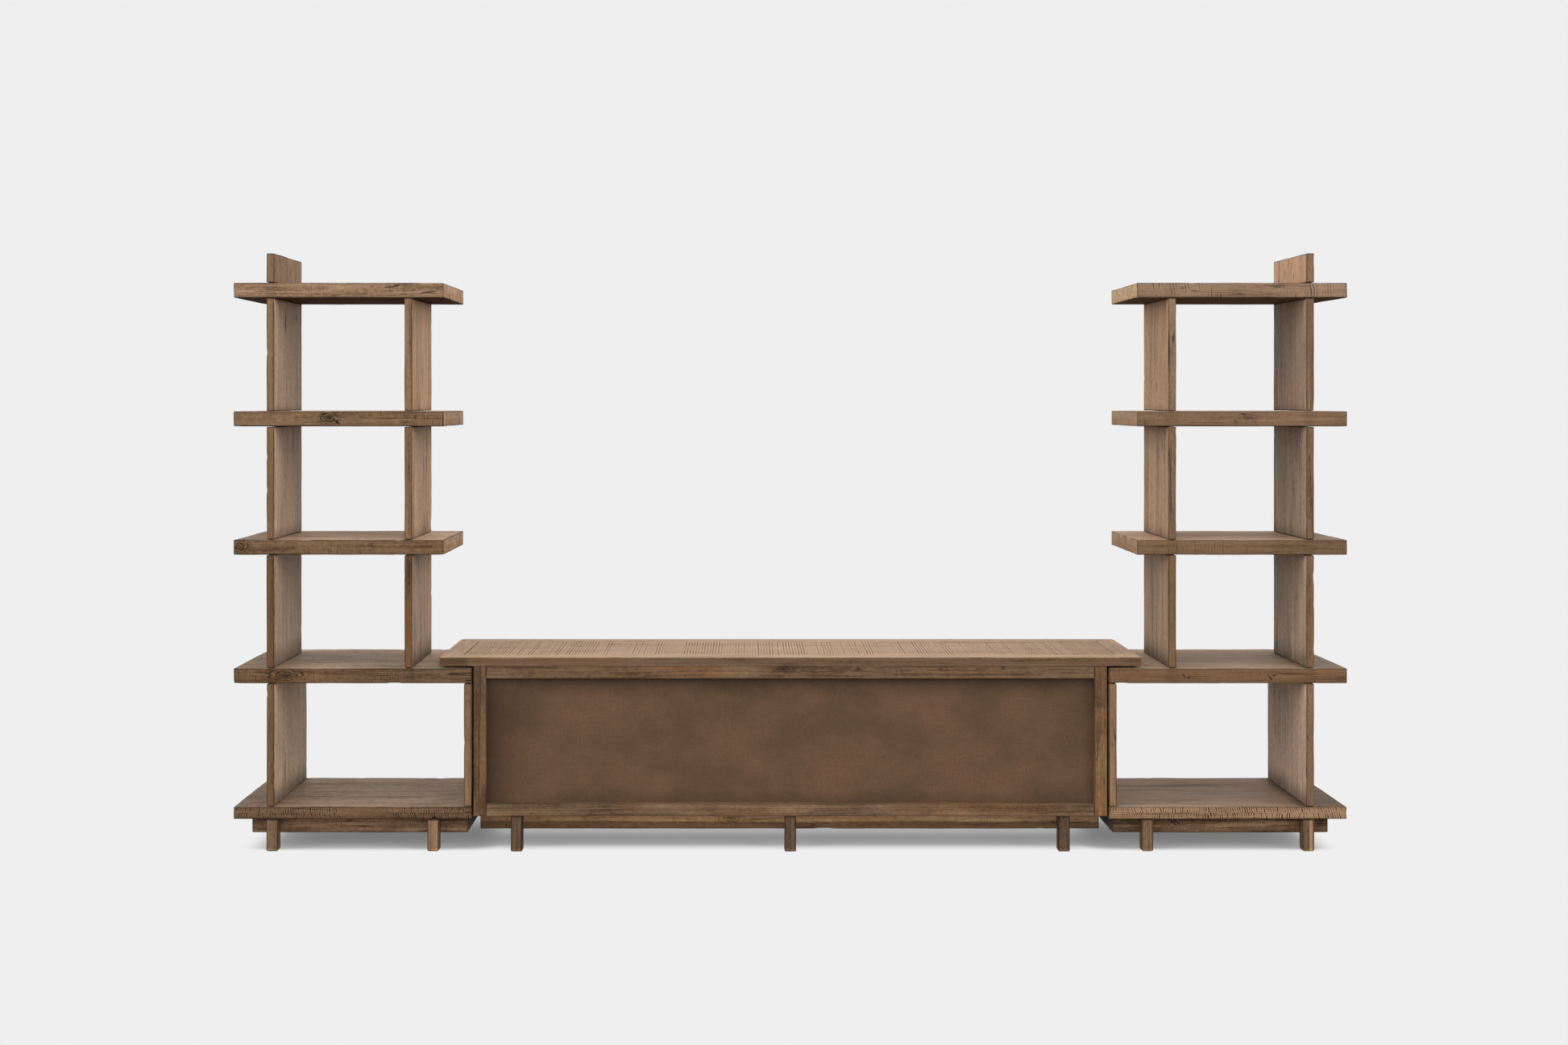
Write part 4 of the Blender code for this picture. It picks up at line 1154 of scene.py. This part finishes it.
def floorFinish():
    finish = Finish("paleFloor")
    seen = finish.seen()
    level = seen.ease(0.0, 1.0, studio["floorBounce"], studio["floorSeen"])
    finish.shade("Base Color", finish.vector(level, level, level))
    finish.shade("Roughness", 1.0)
    finish.shade("Specular IOR Level", 0.0)
    # the paper's own tone shows through everywhere, and more of it away from the furniture
    x, y, _ = finish.axes(finish.place)
    outX = ((abs(x) - cadBox[1].x) / studio["shadowEnds"] + 1).most(0.0)
    underConsole = abs(x).fade(*studio["litWidth"])
    rearReach = underConsole * studio["litRear"] + studio["shadowRear"]
    outRear = ((cadBox[0].y - y) / rearReach + 1).most(0.0)
    outFront = ((y - cadBox[1].y) / studio["shadowFront"]).most(0.0)
    away = (outX ** 2.0 + outRear ** 2.0 + outFront ** 2.0) ** 0.5
    # painted light on the floor under the console
    lit = underConsole * y.ease(*studio["litDepth"], *studio["litShare"])
    shadow = away.fade(0.0, studio["shadowEnd"], studio["shadowShare"])
    glow = finish.add("ShaderNodeEmission", inputs={"Color": stain(*studio["paper"])})
    finish.show("Material Output", seen * (1 - shadow * (1 - lit)), finish.shader, glow)
    return finish.material


def buildFloor():
    bm = bmesh.new()
    bmesh.ops.create_grid(bm, x_segments=1, y_segments=1, size=studio["floorReach"])
    mesh = bpy.data.meshes.new("floor")
    bm.to_mesh(mesh)
    bm.free()
    floor = bpy.data.objects.new("floor", mesh)
    bpy.context.scene.collection.objects.link(floor)
    mesh.materials.append(floorFinish())


def buildLamps():
    spread = math.radians(studio["lampSpread"])
    rise = math.radians(studio["lampRise"])
    for word, side in (("leftLamp", -1), ("rightLamp", 1)):
        sun = bpy.data.lights.new(word, "SUN")
        sun.energy = studio["lampLevel"]
        sun.angle = math.radians(studio["lampSoftness"])
        lamp = bpy.data.objects.new(word, sun)
        bpy.context.scene.collection.objects.link(lamp)
        towards = Vector((
            side * math.sin(spread) * math.cos(rise), -math.cos(spread) * math.cos(rise), math.sin(rise)))
        lamp.rotation_euler = (-towards).to_track_quat("-Z", "Y").to_euler()


view = {
    "place": (-0.147, -5.995, 1.465),
    "lens": 40.6,
    "sensor": 36.0,
    "shift": (0.0247, -0.0763),
}


def buildCamera():
    camera = bpy.data.cameras.new("camera")
    camera.lens = view["lens"]
    camera.sensor_width = view["sensor"]
    camera.shift_x, camera.shift_y = view["shift"]
    cameraObject = bpy.data.objects.new("camera", camera)
    cameraObject.location = view["place"]
    cameraObject.rotation_euler = (math.pi / 2, 0, 0)
    bpy.context.scene.collection.objects.link(cameraObject)
    bpy.context.scene.camera = cameraObject


buildRoom()
buildFloor()
buildLamps()
buildCamera()
bpy.context.scene.view_settings.view_transform = "Standard"
print("studio done")
